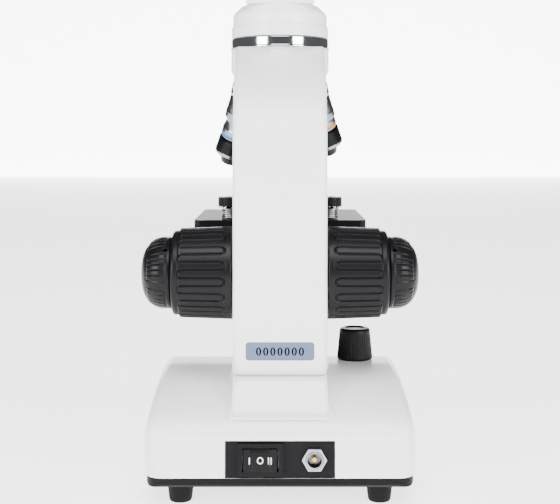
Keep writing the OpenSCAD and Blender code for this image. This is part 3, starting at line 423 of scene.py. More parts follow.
def place_piece(name: str, made: Surface, finishes: Sequence[Finish], body: str, stands_for: Sequence[str],
                smooth_angle: float = 32.0) -> None:
    """Puts a surface in the scene as a piece that rides on a CAD body.

    Args:
        name: the piece's name.
        made: its surface, in the row frame.
        finishes: one finish for each material slot.
        body: the CAD body it rides on.
        stands_for: the CAD nodes it replaces, if any.
        smooth_angle: edges that bend more than this, in degrees, stay sharp.
    """
    mesh = made.mesh(name, smooth_angle)
    piece = bpy.data.objects.new(name, mesh)
    bpy.context.scene.collection.objects.link(piece)
    for finish in finishes:
        mesh.materials.append(finish.material())
    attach(piece, body)
    if stands_for:
        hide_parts(*stands_for)
    LOG.info("%s rides on %s with %d faces", name, body, len(mesh.polygons))


def smoothstep(low: float, high: float, value: Array) -> Array:
    """Rises smoothly from 0 at low to 1 at high."""
    t = np.clip((value - low) / (high - low), 0, 1)
    return t * t * (3 - 2 * t)


def cubic(a: Sequence[float], b: Sequence[float], c: Sequence[float], d: Sequence[float], count: int) -> Array:
    """Points on a cubic curve: the Bernstein blend of four control points."""
    t = np.linspace(0, 1, count)[:, None]
    s = 1 - t
    points = [np.asarray(p, dtype=float) for p in (a, b, c, d)]
    return s**3 * points[0] + 3 * s * s * t * points[1] + 3 * s * t * t * points[2] + t**3 * points[3]


def whole_turn(count: int) -> Array:
    """Angles at equal steps round a whole turn, with the first one not repeated."""
    return np.linspace(0, 2 * math.pi, count, endpoint=False)


def turns_for(profile: Array, count: int) -> Array:
    """A row of angles round a whole turn for each point of a profile."""
    return np.broadcast_to(whole_turn(count), (len(profile), count))


def rounded_box(turn: Array, half_x: float, half_z: float, radius: float) -> tuple[Array, Array]:
    """Places round a rectangle with round corners, one for each angle."""
    return (np.sign(np.round(np.cos(turn), 6)) * (half_x - radius) + radius * np.cos(turn),
            np.sign(np.round(np.sin(turn), 6)) * (half_z - radius) + radius * np.sin(turn))


def resample(path: Array, count: int) -> Array:
    """Points at equal steps of length along a broken line."""
    steps = np.concatenate([[0], np.cumsum(np.linalg.norm(np.diff(path, axis=0), axis=1))])
    wanted = np.linspace(0, steps[-1], count)
    return np.stack([np.interp(wanted, steps, path[:, k]) for k in range(path.shape[1])], axis=-1)


def toward(place: Array, other: Array, distance: float) -> Array:
    """The point that is a distance from one place on the way to another."""
    return place + (other - place) / np.linalg.norm(other - place) * distance


def rounded_profile(corners: Sequence[tuple[float, float, float]], per_corner: int = 5) -> Array:
    """A broken line whose corners are rounded.

    Args:
        corners: (radius, height, rounding) places; the rounding is how far the bend reaches along each side.
        per_corner: points along each bend.

    Returns:
        The points, where each bend is a quadratic blend of its corner and the two places beside it.
    """
    spots = np.array([c[:2] for c in corners], dtype=float)
    made = [spots[:1]]
    for k in range(1, len(corners) - 1):
        before, corner, after = spots[k - 1], spots[k], spots[k + 1]
        reach = corners[k][2]
        if reach <= 0:
            made.append(corner[None])
            continue
        start, end = (toward(corner, spot, min(reach, np.linalg.norm(spot - corner) * 0.49))
                      for spot in (before, after))
        t = np.linspace(0, 1, per_corner)[:, None]
        made.append((1 - t) ** 2 * start + 2 * t * (1 - t) * corner + t * t * end)
    made.append(spots[-1:])
    return np.concatenate(made)


@dataclass(frozen=True)
class Axle:
    """A place and a direction that round pieces are turned about."""

    origin: tuple[float, float, float]
    direction: tuple[float, float, float]

    def frame(self) -> Array:
        """Two directions square to the axle, and the axle's own, as the rows of a matrix."""
        along = np.array(self.direction, dtype=float)
        along /= np.linalg.norm(along)
        helper = np.array([0.0, 0.0, 1.0]) if abs(along[2]) < 0.9 else np.array([0.0, -1.0, 0.0])
        side = np.cross(helper, along)
        side /= np.linalg.norm(side)
        return np.stack([side, np.cross(along, side), along])

    def turned(self, radius: Array, along: Array, angle: Array) -> Array:
        """Points at a radius and an angle about the axle and a distance along it."""
        side, up, ahead = self.frame()
        return (np.array(self.origin) + radius[..., None] * (np.cos(angle)[..., None] * side
                + np.sin(angle)[..., None] * up) + along[..., None] * ahead)


def lathe(surface: Surface, axle: Axle, profile: Array, segments: int = 96, slot: int | Array = 0) -> Surface:
    """Turns a profile of (radius, distance) points about an axle; ends on the axle close by merging."""
    angle = turns_for(profile, segments)
    grid = axle.turned(profile[:, :1] + 0 * angle, profile[:, 1:2] + 0 * angle, angle)
    return surface.add_grid(grid, close_cols=True, slot=slot)


def rounded_slab(outline: Array, half_width: float, rounding: float, steps: int = 6) -> Array:
    """A grid of copies of a closed outline across a width, drawn inwards near both sides.

    Args:
        outline: (n, 2) points of a closed outline, counter-clockwise.
        half_width: half of the width.
        rounding: radius of the edges; the inset at depth t from a side is r - sqrt(r^2 - (r - t)^2).
        steps: points across each rounded edge.

    Returns:
        Grid of (width, first, second) points.
    """
    ahead = np.roll(outline, -1, axis=0) - np.roll(outline, 1, axis=0)
    inwards = np.stack([-ahead[:, 1], ahead[:, 0]], axis=-1)
    inwards /= np.linalg.norm(inwards, axis=1, keepdims=True)
    turn = np.linspace(0, math.pi / 2, steps)
    inset = rounding * (1 - np.sin(turn))
    level = -half_width + rounding * (1 - np.cos(turn))
    insets = np.concatenate([inset, inset[::-1]])
    levels = np.concatenate([level, -level[::-1]])
    flat = outline[None] + inwards[None] * insets[:, None, None]
    return np.concatenate([np.broadcast_to(levels[:, None, None], flat.shape[:2] + (1,)), flat], axis=-1)


# ---------------------------------------------------------------- places read from the frame


def corner(node: str, high: bool, axis: int) -> float:
    """One coordinate of a CAD node's box: its high or its low side along an axis."""
    return float(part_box(node)[1 if high else 0][axis])


def middle(node: str, axis: int) -> float:
    """The middle of a CAD node's box along an axis."""
    return (corner(node, False, axis) + corner(node, True, axis)) / 2


@dataclass(frozen=True)
class Places:
    """Driving places of the object, read from the CAD nodes."""

    rear_y: float = corner("base_shell", True, 1)
    front_y: float = corner("base_shell", False, 1)
    axis_y: float = middle("field_lens", 1)
    shell_z: float = corner("base_shell", False, 2)
    base_half: float = corner("base_shell", True, 0)
    pedestal_z: float = corner("arm", False, 2)
    head_z: float = corner("arm", True, 2)
    stage_z: float = corner("stage_plate", True, 2)
    arm_half: float = 0.02225
    collar_r: float = corner("arm", True, 0)
    focus_y: float = middle("fine_shaft", 1)
    focus_z: float = middle("fine_shaft", 2)

    def back(self, setback: Array | float) -> Array | float:
        """Y of a place in front of the back face."""
        return self.rear_y - setback


PLACES = Places()
FOCUS_AXLE = Axle((0, PLACES.focus_y, PLACES.focus_z), (1, 0, 0))
HEAD_AXLE = Axle((0, PLACES.axis_y, 0), (0, 0, 1))


# ---------------------------------------------------------------- cast body


@dataclass
class BaseCasting:
    """The cast base: bulging sides, soft shoulders, a recess for the panel and the pedestal of the arm."""

    corner_r: float = 8 * MM
    shoulder: float = 8.5 * MM
    shoulder_in: float = 5.2 * MM
    panel_half: float = 25.4 * MM
    panel_top: float = 31.8 * MM
    recess: float = 3.4 * MM
    fillet: float = 2.6 * MM
    pedestal_r: float = 2.4 * MM

    def depth(self) -> float:
        """Depth of the base."""
        return PLACES.rear_y - PLACES.front_y

    def side_line(self) -> Array:
        """The top of the base from the side: (setback, height) points from the back to the nose."""
        deep, deck = self.depth() / MM, 54.5
        back = cubic((0, 33), (0, 41), (20, deck - 2.5), (60, deck), 26)
        nose = cubic((deep - 4, deck - 24), (deep, deck - 26), (deep, deck - 29), (deep, deck - 34), 10)
        return np.concatenate([back, [[78, deck], [deep - 10, deck - 22.5]], nose]) * MM

    def top(self, setback: Array) -> Array:
        """Height of the top at a setback, along its middle."""
        line = self.side_line()
        keep = np.concatenate([[True], np.diff(line[:, 0]) > 1e-7])
        return np.interp(setback, line[keep, 0], line[keep, 1])

    def half_width(self, height: Array) -> Array:
        """Half of the width at a height: a quadratic bulge whose widest place is 25 mm up."""
        low = 0.7 * ((height - 25 * MM) / (10.3 * MM)) ** 2
        high = 1.9 * ((height - 25 * MM) / (21 * MM)) ** 2
        return PLACES.base_half - MM * np.where(height < 25 * MM, low, high)

    def section(self, setback: float) -> Array:
        """One closed slice of the base: up a side, over the shoulder, across the top and down again."""
        end = min(setback, self.depth() - setback, self.corner_r)
        pulled_in = self.corner_r - math.sqrt(max(self.corner_r**2 - (self.corner_r - end) ** 2, 0.0))
        top = float(self.top(np.array(setback)))
        reach = min(self.shoulder, 0.45 * (top - PLACES.shell_z))
        wall = np.linspace(PLACES.shell_z, top - reach, 12)
        x_wall = self.half_width(wall) - pulled_in
        turn = np.linspace(0, math.pi / 2, 10)[1:]
        across = self.shoulder_in * reach / self.shoulder
        x_turn = x_wall[-1] - across * (1 - np.cos(turn))
        z_turn = top - reach * (1 - np.sin(turn))
        x_top = np.linspace(x_turn[-1], 0, 8)[1:]
        x = np.concatenate([x_wall, x_turn, x_top])
        z = np.concatenate([wall, z_turn, np.full(7, top)])
        x, z = np.concatenate([x, -x[-2::-1]]), np.concatenate([z, z[-2::-1]])
        return np.stack([x, np.full_like(x, PLACES.back(setback)), z], axis=-1)

    def shell(self) -> Surface:
        """The outer skin with its rear recess."""
        deep = self.depth()
        near = self.corner_r * (1 - np.cos(np.linspace(0, math.pi / 2, 12)))
        along = np.linspace(self.corner_r, deep - self.corner_r, 44)[1:-1]
        stations = np.concatenate([near, along, deep - near[::-1]])
        grid = np.stack([self.section(float(s)) for s in stations])
        made = Surface().add_grid(grid, close_cols=True, caps=Ends.LAST)
        rim = grid[0]
        mouth = rim.copy()
        mouth[:, 0] = np.clip(mouth[:, 0], -self.panel_half, self.panel_half)
        mouth[:, 2] = np.minimum(mouth[:, 2], self.panel_top)
        lip = mouth + np.array([0, -0.35 * MM, 0])
        lip[:, 0] *= 1 - 0.3 * MM / self.panel_half
        deep_end = lip - np.array([0, self.recess, 0])
        return made.add_grid(np.stack([rim, mouth, lip, deep_end]), caps=Ends.LAST)

    def pedestal(self) -> Surface:
        """The pedestal: a rounded block that leans forwards and flares where it meets the deck."""
        top_z = PLACES.pedestal_z - 0.15 * MM
        turn = whole_turn(96)
        normal = np.stack([np.cos(turn), np.sin(turn)], axis=-1)

        def loop(height: Array, grow: Array) -> Array:
            """Points round the block at one height for each point, pushed outwards by grow."""
            h = height / MM
            half = np.interp(h, [41.6, 56], [22.95, 22.3]) * MM
            back = np.interp(h, [38, 39.5, 44, 50, 56], [4.6, 5, 7, 10, 15]) * MM
            front = np.interp(h, [52, 54.5, 56], [66, 64.5, 62]) * MM
            centre, reach = (back + front) / 2, (front - back) / 2
            x, y = rounded_box(turn, half, reach, self.pedestal_r)
            y = PLACES.back(centre) + y + normal[:, 1] * grow
            return np.stack([x + normal[:, 0] * grow, y, height], axis=-1)

        ground = np.full(96, 48 * MM)
        for _ in range(2):
            ground = self.top(PLACES.rear_y - loop(ground, np.zeros(96))[:, 1])
        rows = []
        for rise in np.concatenate([np.linspace(-0.06, 0.35, 12), np.linspace(0.42, 0.97, 8)]):
            height = ground + rise * (top_z - ground)
            above = np.clip((height - ground) / self.fillet, 0, 1)
            rows.append(loop(height, self.fillet * (1 - above) ** 2.2))
        flat = np.full(96, top_z)
        rows.append(loop(flat - 0.25 * MM, np.zeros(96)))
        rows.append(loop(flat, np.full(96, -0.5 * MM)))
        return Surface().add_grid(np.stack(rows), close_cols=True, caps=Ends.BOTH)

    def build(self) -> None:
        """Makes the shell and the pedestal in place of the cast node."""
        for name, made in (("base_skin", self.shell()), ("pedestal_skin", self.pedestal())):
            place_piece(name, made, [ENAMEL], "stand", ["base_shell"])


@dataclass
class ArmCasting:
    """The curved arm with its front slot, and the collar that carries the head."""

    edge_r: float = 2.8 * MM
    back: float = 12 * MM
    front: float = 52 * MM
    collar_bottom: float = 13.7 * MM
    slot_half: float = 13 * MM
    slot_wall: float = 10 * MM
    slot_low: float = 66 * MM
    slot_high: float = 148.3 * MM
    bend_z: float = 139.7 * MM
    axis_setback: float = 100 * MM

    def under(self, setback: Array | float) -> Array | float:
        """Height of the tilted underside of the collar at a setback, rising towards the front."""
        anchor_y, anchor_z = self.under_anchor()
        return anchor_z + (setback - anchor_y) * math.tan(NOSE_TILT)

    def under_anchor(self) -> tuple[float, float]:
        """A place on the underside, as its setback and height: the middle of the nosepiece's base."""
        shoulder = PLACES.head_z - NOSE_DROP
        along = NOSE_CIRCLE * np.array([math.cos(NOSE_TILT), math.sin(NOSE_TILT)])
        rise = 12 * MM * np.array([-math.sin(NOSE_TILT), math.cos(NOSE_TILT)])
        spot = np.array([self.axis_setback, shoulder]) + along + rise
        return float(spot[0]), float(spot[1])

    def curl(self, count: int) -> Array:
        """(setback, height) points up the curled foot of the arm's back."""
        foot, back = PLACES.pedestal_z, self.back
        return cubic((back + 12 * MM, foot), (back + 4 * MM, foot + 4 * MM), (back, foot + 24 * MM),
                     (back, foot + 46 * MM), count)

    def lines(self) -> tuple[Array, Array]:
        """Matching (setback, height) points along the back and the front of the arm, foot to neck."""
        foot, head = PLACES.pedestal_z, PLACES.head_z
        curl = self.curl(40)
        low_z = np.concatenate([np.linspace(foot, foot + 12 * MM, 12),
                                np.linspace(foot + 14 * MM, self.bend_z, 34)])
        back_low = np.stack([np.interp(low_z, curl[:, 1], curl[:, 0]), low_z], axis=-1)
        front_low = np.stack([np.full_like(low_z, self.front), low_z], axis=-1)
        neck = self.axis_setback - PLACES.collar_r + 4 * MM
        sweep = cubic((self.back, head - 67.5 * MM), (self.back, head - 37.5 * MM),
                      (self.back + 16 * MM, head - 15.5 * MM), (neck - 2 * MM, head), 60)
        back_high = resample(np.concatenate([[[self.back, self.bend_z]], sweep]), 40)[1:]
        under = cubic((self.front, head - 78 * MM), (self.front, head - 48 * MM),
                      (neck - 15 * MM, self.under(neck - 15 * MM)), (neck, self.under(neck)), 60)
        front_high = resample(under, 40)[1:]
        end = self.axis_setback - 8 * MM
        back_end = np.array([[end, head - 0.4 * MM]])
        front_end = np.array([[end, self.under(end) + 0.5 * MM]])
        return np.concatenate([back_low, back_high, back_end]), np.concatenate([front_low, front_high, front_end])

    def section(self, back: Array, front: Array, cut: float) -> Array:
        """One closed slice: a rounded box between a back and a front point, with a slot cut into its front."""
        ahead = front - back
        thick = float(np.linalg.norm(ahead))
        ahead = ahead / thick
        half = float(np.interp(back[1], np.array([150, 187, 200, 210, 217.5]) * MM,
                               np.array([22.25, 22.4, 22.7, 23.3, 24.25]) * MM))
        turn = np.linspace(0, math.pi / 2, 7)
        r = self.edge_r
        x_back = half - r + r * np.sin(turn)
        t_back = r - r * np.cos(turn)
        x_front, t_front = half - r + r * np.cos(turn), thick - r + r * np.sin(turn)
        x_slot = np.full(2, self.slot_half)
        t_slot = np.array([thick, thick - cut])
        x = np.concatenate([x_back, x_front, x_slot])
        t = np.concatenate([t_back, t_front, t_slot])
        x, t = np.concatenate([x, -x[::-1]]), np.concatenate([t, t[::-1]])
        place = back[None] + ahead[None] * t[:, None]
        return np.stack([x, PLACES.back(place[:, 0]), place[:, 1]], axis=-1)

    def arm(self) -> Surface:
        """The arm as slices from its curled foot to the neck inside the collar."""
        back, front = self.lines()
        rows = []
        foot_round = 0.9 * MM
        for k, (b, f) in enumerate(zip(back, front)):
            inside = self.slot_low < f[1] < self.slot_high and f[0] <= self.front + 2 * MM
            was = k > 0 and self.slot_low < front[k - 1][1] < self.slot_high
            deep = float(np.linalg.norm(f - b)) - self.slot_wall
            if inside != was:
                rows.append(self.section(b, f, deep if was else 0.0))
            rows.append(self.section(b, f, deep if inside else 0.0))
        foot = rows[0].copy()
        centre = foot.mean(axis=0)
        foot[:, :2] = centre[:2] + (foot[:, :2] - centre[:2]) * (1 - foot_round / PLACES.arm_half)
        rows[0][:, 2] += foot_round
        return Surface().add_grid(np.stack([foot] + rows), close_cols=True, caps=Ends.BOTH)

    def collar(self) -> Surface:
        """The collar: a cylinder whose lower edge follows the tilted underside and is bevelled at the sides."""
        turn = whole_turn(128)
        radius = PLACES.collar_r
        bottom = PLACES.head_z - self.collar_bottom

        def ring(r: float, z: Array) -> Array:
            """A ring of points at a radius, with a height for each."""
            return np.stack([r * np.cos(turn), PLACES.axis_y + r * np.sin(turn), z], axis=-1)

        def under(r: float) -> Array:
            """Height of the underside round a ring."""
            return self.under(self.axis_setback - r * np.sin(turn))

        waist = radius - 3.6 * MM
        edge = np.maximum(under(radius), bottom + 1.2 * MM)
        rows = [ring(0.1 * MM, under(0.1 * MM)), ring(waist, under(waist)),
                ring(waist, np.maximum(under(waist), bottom - 2.4 * MM)), ring(radius - 0.5 * MM, edge - 0.3 * MM),
                ring(radius, edge + 0.3 * MM), ring(radius, np.full(128, PLACES.head_z - 0.5 * MM)),
                ring(radius - 0.5 * MM, np.full(128, PLACES.head_z)), ring(0.1 * MM, np.full(128, PLACES.head_z))]
        return Surface().add_grid(np.stack(rows), close_cols=True, caps=Ends.BOTH)

    def build(self) -> None:
        """Makes the arm and its collar in place of the cast node."""
        for name, made in (("arm_skin", self.arm()), ("arm_collar", self.collar())):
            place_piece(name, made, [ENAMEL], "stand", ["arm"])


@dataclass
class HeadCasting:
    """The turning head: ring, cup, prism housing and eyepiece tube."""

    tilt: float = math.radians(45)
    cup_gap: float = 0.3 * MM
    ring_bore: float = 20.1 * MM
    cup_high: float = 17.7 * MM
    tube_rise: float = 13.6 * MM

    def ring(self) -> Surface:
        """The bright ring under the cup, with a lip at its foot."""
        low, high = corner("head_ring", False, 2), corner("head_ring", True, 2)
        r = PLACES.collar_r
        profile = rounded_profile([
            (self.ring_bore, low, 0), (r + 0.5 * MM, low, 0.3 * MM), (r + 0.5 * MM, low + 0.7 * MM, 0.2 * MM),
            (r, low + 1.1 * MM, 0.2 * MM), (r, high - 0.1 * MM, 0.5 * MM), (self.ring_bore, high, 0)])
        return lathe(Surface(), HEAD_AXLE, np.concatenate([profile, profile[:1]]), 128)

    def cup(self) -> Surface:
        """The cup: two tiers and a bevelled shoulder."""
        r = PLACES.collar_r - 0.2 * MM
        low = corner("head_ring", True, 2) + self.cup_gap
        high = low + self.cup_high
        profile = rounded_profile([
            (0, low, 0), (r, low, 0.6 * MM), (r, low + 6.1 * MM, 0.5 * MM),
            (r - 0.8 * MM, low + 6.3 * MM, 0.15 * MM), (r - 0.8 * MM, low + 12.9 * MM, 1.6 * MM),
            (r - 5.7 * MM, high, 0.8 * MM), (0, high, 0)])
        return lathe(Surface(), HEAD_AXLE, profile, 128)

    def housing(self) -> Surface:
        """The prism housing: a slab with a round back, a sloping roof and a face square to the tube."""
        low = corner("head_cup", True, 2)
        origin = low + self.tube_rise
        r = PLACES.collar_r - 0.2 * MM
        back = r - 4.5 * MM
        mouth = np.array([22 * math.sin(self.tilt) * MM, origin + 22 * math.cos(self.tilt) * MM])
        step = 15 * MM * np.array([-math.cos(self.tilt), math.sin(self.tilt)])
        roof = cubic((-back - MM, low + 16 * MM), (-back - MM, low + 24 * MM), (-back + 3 * MM, low + 30 * MM),
                     mouth + step, 18)
        outline = np.concatenate([
            rounded_profile([(-r + 6 * MM, low - 0.3 * MM, 0), (-back - MM, low + 3 * MM, MM),
                             (-back - MM, low + 15 * MM, 0)]),
            roof, rounded_profile([tuple(mouth + step * 0.8) + (0,), tuple(mouth - step) + (2.5 * MM,),
                                   (r - 6.5 * MM, low + 2 * MM, MM), (r - 6.5 * MM, low - 0.3 * MM, 0)])])
        grid = rounded_slab(outline[::-1], corner("prism_housing", True, 0), 2.6 * MM, 7)
        made = np.stack([grid[..., 0], PLACES.axis_y - grid[..., 1], grid[..., 2]], axis=-1)
        return Surface().add_grid(made, close_cols=True, caps=Ends.BOTH)

    def tube(self) -> Surface:
        """The eyepiece tube: a wall with a softened mouth."""
        origin = (0, PLACES.axis_y, corner("head_cup", True, 2) + self.tube_rise)
        axle = Axle(origin, (0, -math.sin(self.tilt), math.cos(self.tilt)))
        start, end, bore, outer = 20 * MM, 60 * MM, 11.65 * MM, 14.4 * MM
        profile = rounded_profile([(bore, start, 0), (outer, start, 0), (outer, end, 0.5 * MM),
                                   (bore, end, 0.3 * MM), (bore, start, 0)])
        return lathe(Surface(), axle, profile, 96)

    def build(self) -> None:
        """Makes the head's pieces."""
        place_piece("ring_bright", self.ring(), [CHROME], "stand", ["head_ring"])
        for name, made, node in (("cup_skin", self.cup(), "head_cup"),
                                 ("housing_skin", self.housing(), "prism_housing"),
                                 ("tube_skin", self.tube(), "eyepiece_tube")):
            place_piece(name, made, [ENAMEL], "head", [node])


# ---------------------------------------------------------------- moulded knobs


class Side(Enum):
    """The side of the arm that a knob is on, as the sign of its X."""

    LEFT = -1
    RIGHT = 1


@dataclass
class CoarseKnob:
    """A coarse focus knob: a tapered grip with one winding groove, and an outer band with a round edge."""

    side: Side
    grip_r: float = 22.55 * MM
    taper: float = 0.9 * MM
    band_step: float = 1.2 * MM
    band_len: float = 3.6 * MM
    groove_start: float = 28.2 * MM
    groove_end: float = 46.6 * MM
    groove_half: float = 0.75 * MM
    groove_depth: float = 0.85 * MM
    lines: int = 36

    def node(self) -> str:
        """The CAD node this knob stands for."""
        return "coarse_knob_left" if self.side is Side.LEFT else "coarse_knob_right"

    def groove(self, along: Array, angle: Array) -> Array:
        """Depth of the winding groove.

        The groove runs along lines at equal angles and turns back at alternate ends on half circles. In the cell
        between two lines, u is the distance from the cell's middle and h is half its width. Beside a straight
        stretch the groove's middle is h - |u| away; past an end that is joined, it is |sqrt(u^2 + e^2) - h| away,
        where e is the distance past the end; past an open end it is sqrt((h - |u|)^2 + e^2) away.
        """
        spacing = 2 * math.pi * self.grip_r / self.lines
        cell = angle / (2 * math.pi) * self.lines
        which = np.floor(cell)
        u = (cell - which - 0.5) * spacing
        h = spacing / 2
        past_end = np.maximum(along - self.groove_end, 0)
        past_start = np.maximum(self.groove_start - along, 0)
        past = np.maximum(past_end, past_start)
        even = np.mod(which, 2) == 0
        joined = np.where(past_end > 0, even, ~even)
        turned = np.abs(np.hypot(u, past) - h)
        opened = np.hypot(h - np.abs(u), past)
        away = np.where(past > 0, np.where(joined, turned, opened), h - np.abs(u))
        return self.groove_depth * (1 - smoothstep(0.15, 1.0, away / self.groove_half))

    def surface(self) -> Surface:
        """The knob: a turned grid whose radius is lowered by the groove."""
        start = corner(self.node(), False, 0) if self.side is Side.RIGHT else -corner(self.node(), True, 0)
        end = corner(self.node(), True, 0) if self.side is Side.RIGHT else -corner(self.node(), False, 0)
        band_x = end - self.band_len
        band_r = self.grip_r - self.taper - self.band_step
        grip = np.linspace(start + 1.2 * MM, band_x - 0.9 * MM, 84)
        grip_r = self.grip_r - self.taper * (grip - start) / (band_x - start)
        step = rounded_profile([
            (grip_r[-1], grip[-1], 0), (grip_r[-1], band_x, 0.7 * MM), (band_r, band_x + 0.1 * MM, 0.3 * MM),
            (band_r, end, 2.8 * MM), (band_r - 4 * MM, end, 0)], 8)
        profile = np.concatenate([
            [[3.4 * MM, start], [self.grip_r - 1.2 * MM, start]], rounded_profile([
                (self.grip_r - 1.2 * MM, start, 0), (self.grip_r, start, 0.9 * MM), (grip_r[0], grip[0], 0)])[1:-1],
            np.stack([grip_r, grip], axis=-1), step[1:], [[16 * MM, end - 0.4 * MM], [3.4 * MM, end - 0.4 * MM]]])
        angle = turns_for(profile, KNOB_SEGMENTS)
        along = np.broadcast_to(profile[:, 1:2], angle.shape)
        radius = profile[:, :1] - self.groove(along, angle) * (profile[:, :1] > band_r + 0.3 * MM)
        sign = float(self.side.value)
        grid = FOCUS_AXLE.turned(radius, sign * along, angle)
        return Surface().add_grid(grid, close_cols=True, caps=Ends.BOTH)

    def build(self) -> None:
        """Makes the knob in place of its CAD node."""
        node = self.node()
        place_piece(f"{node}_grip", self.surface(), [GRIP], "coarse_focus", [node], 60)


@dataclass
class FineKnob:
    """A fine focus knob: a dome with groups of finger pads and a hole for its set screw."""

    side: Side
    groups: int = 6
    ribs: int = 5
    pad_height: float = 0.55 * MM
    dome_power: float = 2.8
    hole_angle: float = math.radians(45)
    hole_r: float = 1.15 * MM

    def node(self) -> str:
        """The CAD node this knob stands for."""
        return "fine_knob_left" if self.side is Side.LEFT else "fine_knob_right"

    def relief(self, share: Array, angle: Array) -> Array:
        """Height of the finger pads.

        Each group of ribs fills most of a sixth of a turn, between 18 and 78 hundredths of the length. A rib's
        height is a flat-topped arch of its angle, and a narrow channel runs round each group.
        """
        step = 2 * math.pi / self.groups
        within = np.mod(angle - self.hole_angle, step) / step
        lane = (within - 0.13) / 0.74 * self.ribs
        inside = (lane > 0) & (lane < self.ribs)
        arch = np.abs(np.mod(lane, 1) - 0.5) * 2
        rib = 1 - smoothstep(0.62, 0.98, arch)
        ends = smoothstep(0.16, 0.2, share) * (1 - smoothstep(0.72, 0.78, share))
        edge = smoothstep(0.0, 0.05, within - 0.08) * (1 - smoothstep(0.87, 0.92, within))
        around = smoothstep(0.12, 0.15, share) * (1 - smoothstep(0.78, 0.82, share))
        return self.pad_height * (np.where(inside, rib * ends, 0) - 0.45 * edge * around)

    def surface(self) -> Surface:
        """The knob: a dome with a superellipse profile, raised by the pads and sunk at the screw hole."""
        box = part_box(self.node())
        ends = sorted([abs(float(box[0][0])), abs(float(box[1][0]))])
        start, length = ends[0], ends[1] - ends[0]
        radius = (float(box[1][2]) - float(box[0][2])) / 2
        cap = 1 - 0.16 * np.cos(np.linspace(0, math.pi / 2, 16))[1:]
        share = np.concatenate([np.linspace(0.04, 0.84, 72), cap])
        dome = radius * (1 - share**self.dome_power) ** (1 / self.dome_power)
        angle = turns_for(share, KNOB_SEGMENTS)
        wide = np.broadcast_to(share[:, None], angle.shape)
        height = self.relief(wide, angle)
        across = (np.mod(angle - self.hole_angle + math.pi, 2 * math.pi) - math.pi) * radius
        away = np.hypot(across, wide * length - 2.6 * MM)
        sink = 2.4 * MM * (1 - smoothstep(0.75, 1.05, away / self.hole_r))
        grown = np.minimum(dome[:, None] + height, radius) - sink
        grown[-1] = np.minimum(grown[-1], 0.02 * MM)
        rows = np.array([[2 * MM, 0], [radius - 0.7 * MM, 0], [radius - 0.1 * MM, 0.25 * MM]])
        sign = float(self.side.value)
        flat = 0 * angle[:3]
        base = FOCUS_AXLE.turned(rows[:, :1] + flat, sign * (start + rows[:, 1:2] + flat), angle[:3])
        body = FOCUS_AXLE.turned(grown, sign * (start + wide * length), angle)
        grid = np.concatenate([base, body])
        return Surface().add_grid(grid, close_cols=True, caps=Ends.BOTH)

    def build(self) -> None:
        """Makes the knob in place of its CAD node."""
        node = self.node()
        place_piece(f"{node}_grip", self.surface(), [GRIP], "fine_focus", [node], 60)


@dataclass
class DimmerKnob:
    """The tapered dimmer knob, with fine flutes and a shallow dished top."""

    flutes: int = 40
    flute_depth: float = 0.22 * MM

    def build(self) -> None:
        """Makes the knob in place of its CAD node."""
        low, high = corner("dimmer_knob", False, 2), corner("dimmer_knob", True, 2)
        foot = corner("dimmer_knob", True, 0) - middle("dimmer_knob", 0)
        tall, neck = high - low, foot - 1.5 * MM
        wall = np.linspace(0.1, 0.86, 24)
        wall_r = foot + (neck - foot) * wall
        top = rounded_profile([(wall_r[-1], low + wall[-1] * tall, 0), (neck, high - 0.3 * MM, 1.3 * MM),
                               (neck - 2.2 * MM, high, 0.6 * MM), (neck - 3.2 * MM, high - 0.7 * MM, 0.5 * MM),
                               (0, high - 0.5 * MM, 0)], 7)
        profile = np.concatenate([[[0, low], [foot - 0.5 * MM, low], [foot, low + 0.8 * MM]],
                                  np.stack([wall_r, low + wall * tall], axis=-1), top[1:]])
        angle = turns_for(profile, 480)
        on_wall = smoothstep(0.08, 0.16, (profile[:, 1:2] - low) / tall) * (
            1 - smoothstep(0.8, 0.88, (profile[:, 1:2] - low) / tall))
        flute = self.flute_depth * (0.5 - 0.5 * np.cos(self.flutes * angle)) ** 3
        axle = Axle((middle("dimmer_knob", 0), middle("dimmer_knob", 1), 0), (0, 0, 1))
        grid = axle.turned(profile[:, :1] - flute * on_wall, profile[:, 1:2] + 0 * angle, angle)
        made = Surface().add_grid(grid, close_cols=True)
        place_piece("dimmer_grip", made, [PLASTIC], "dimmer", ["dimmer_knob"], 50)


# ---------------------------------------------------------------- optics


class Band(Enum):
    """Stretches of an objective's barrel that have a finish of their own, in the order of its material slots."""

    GUNMETAL = 0
    CHROME = 1
    COLOUR = 2
    PALE = 3
    BLACK = 4


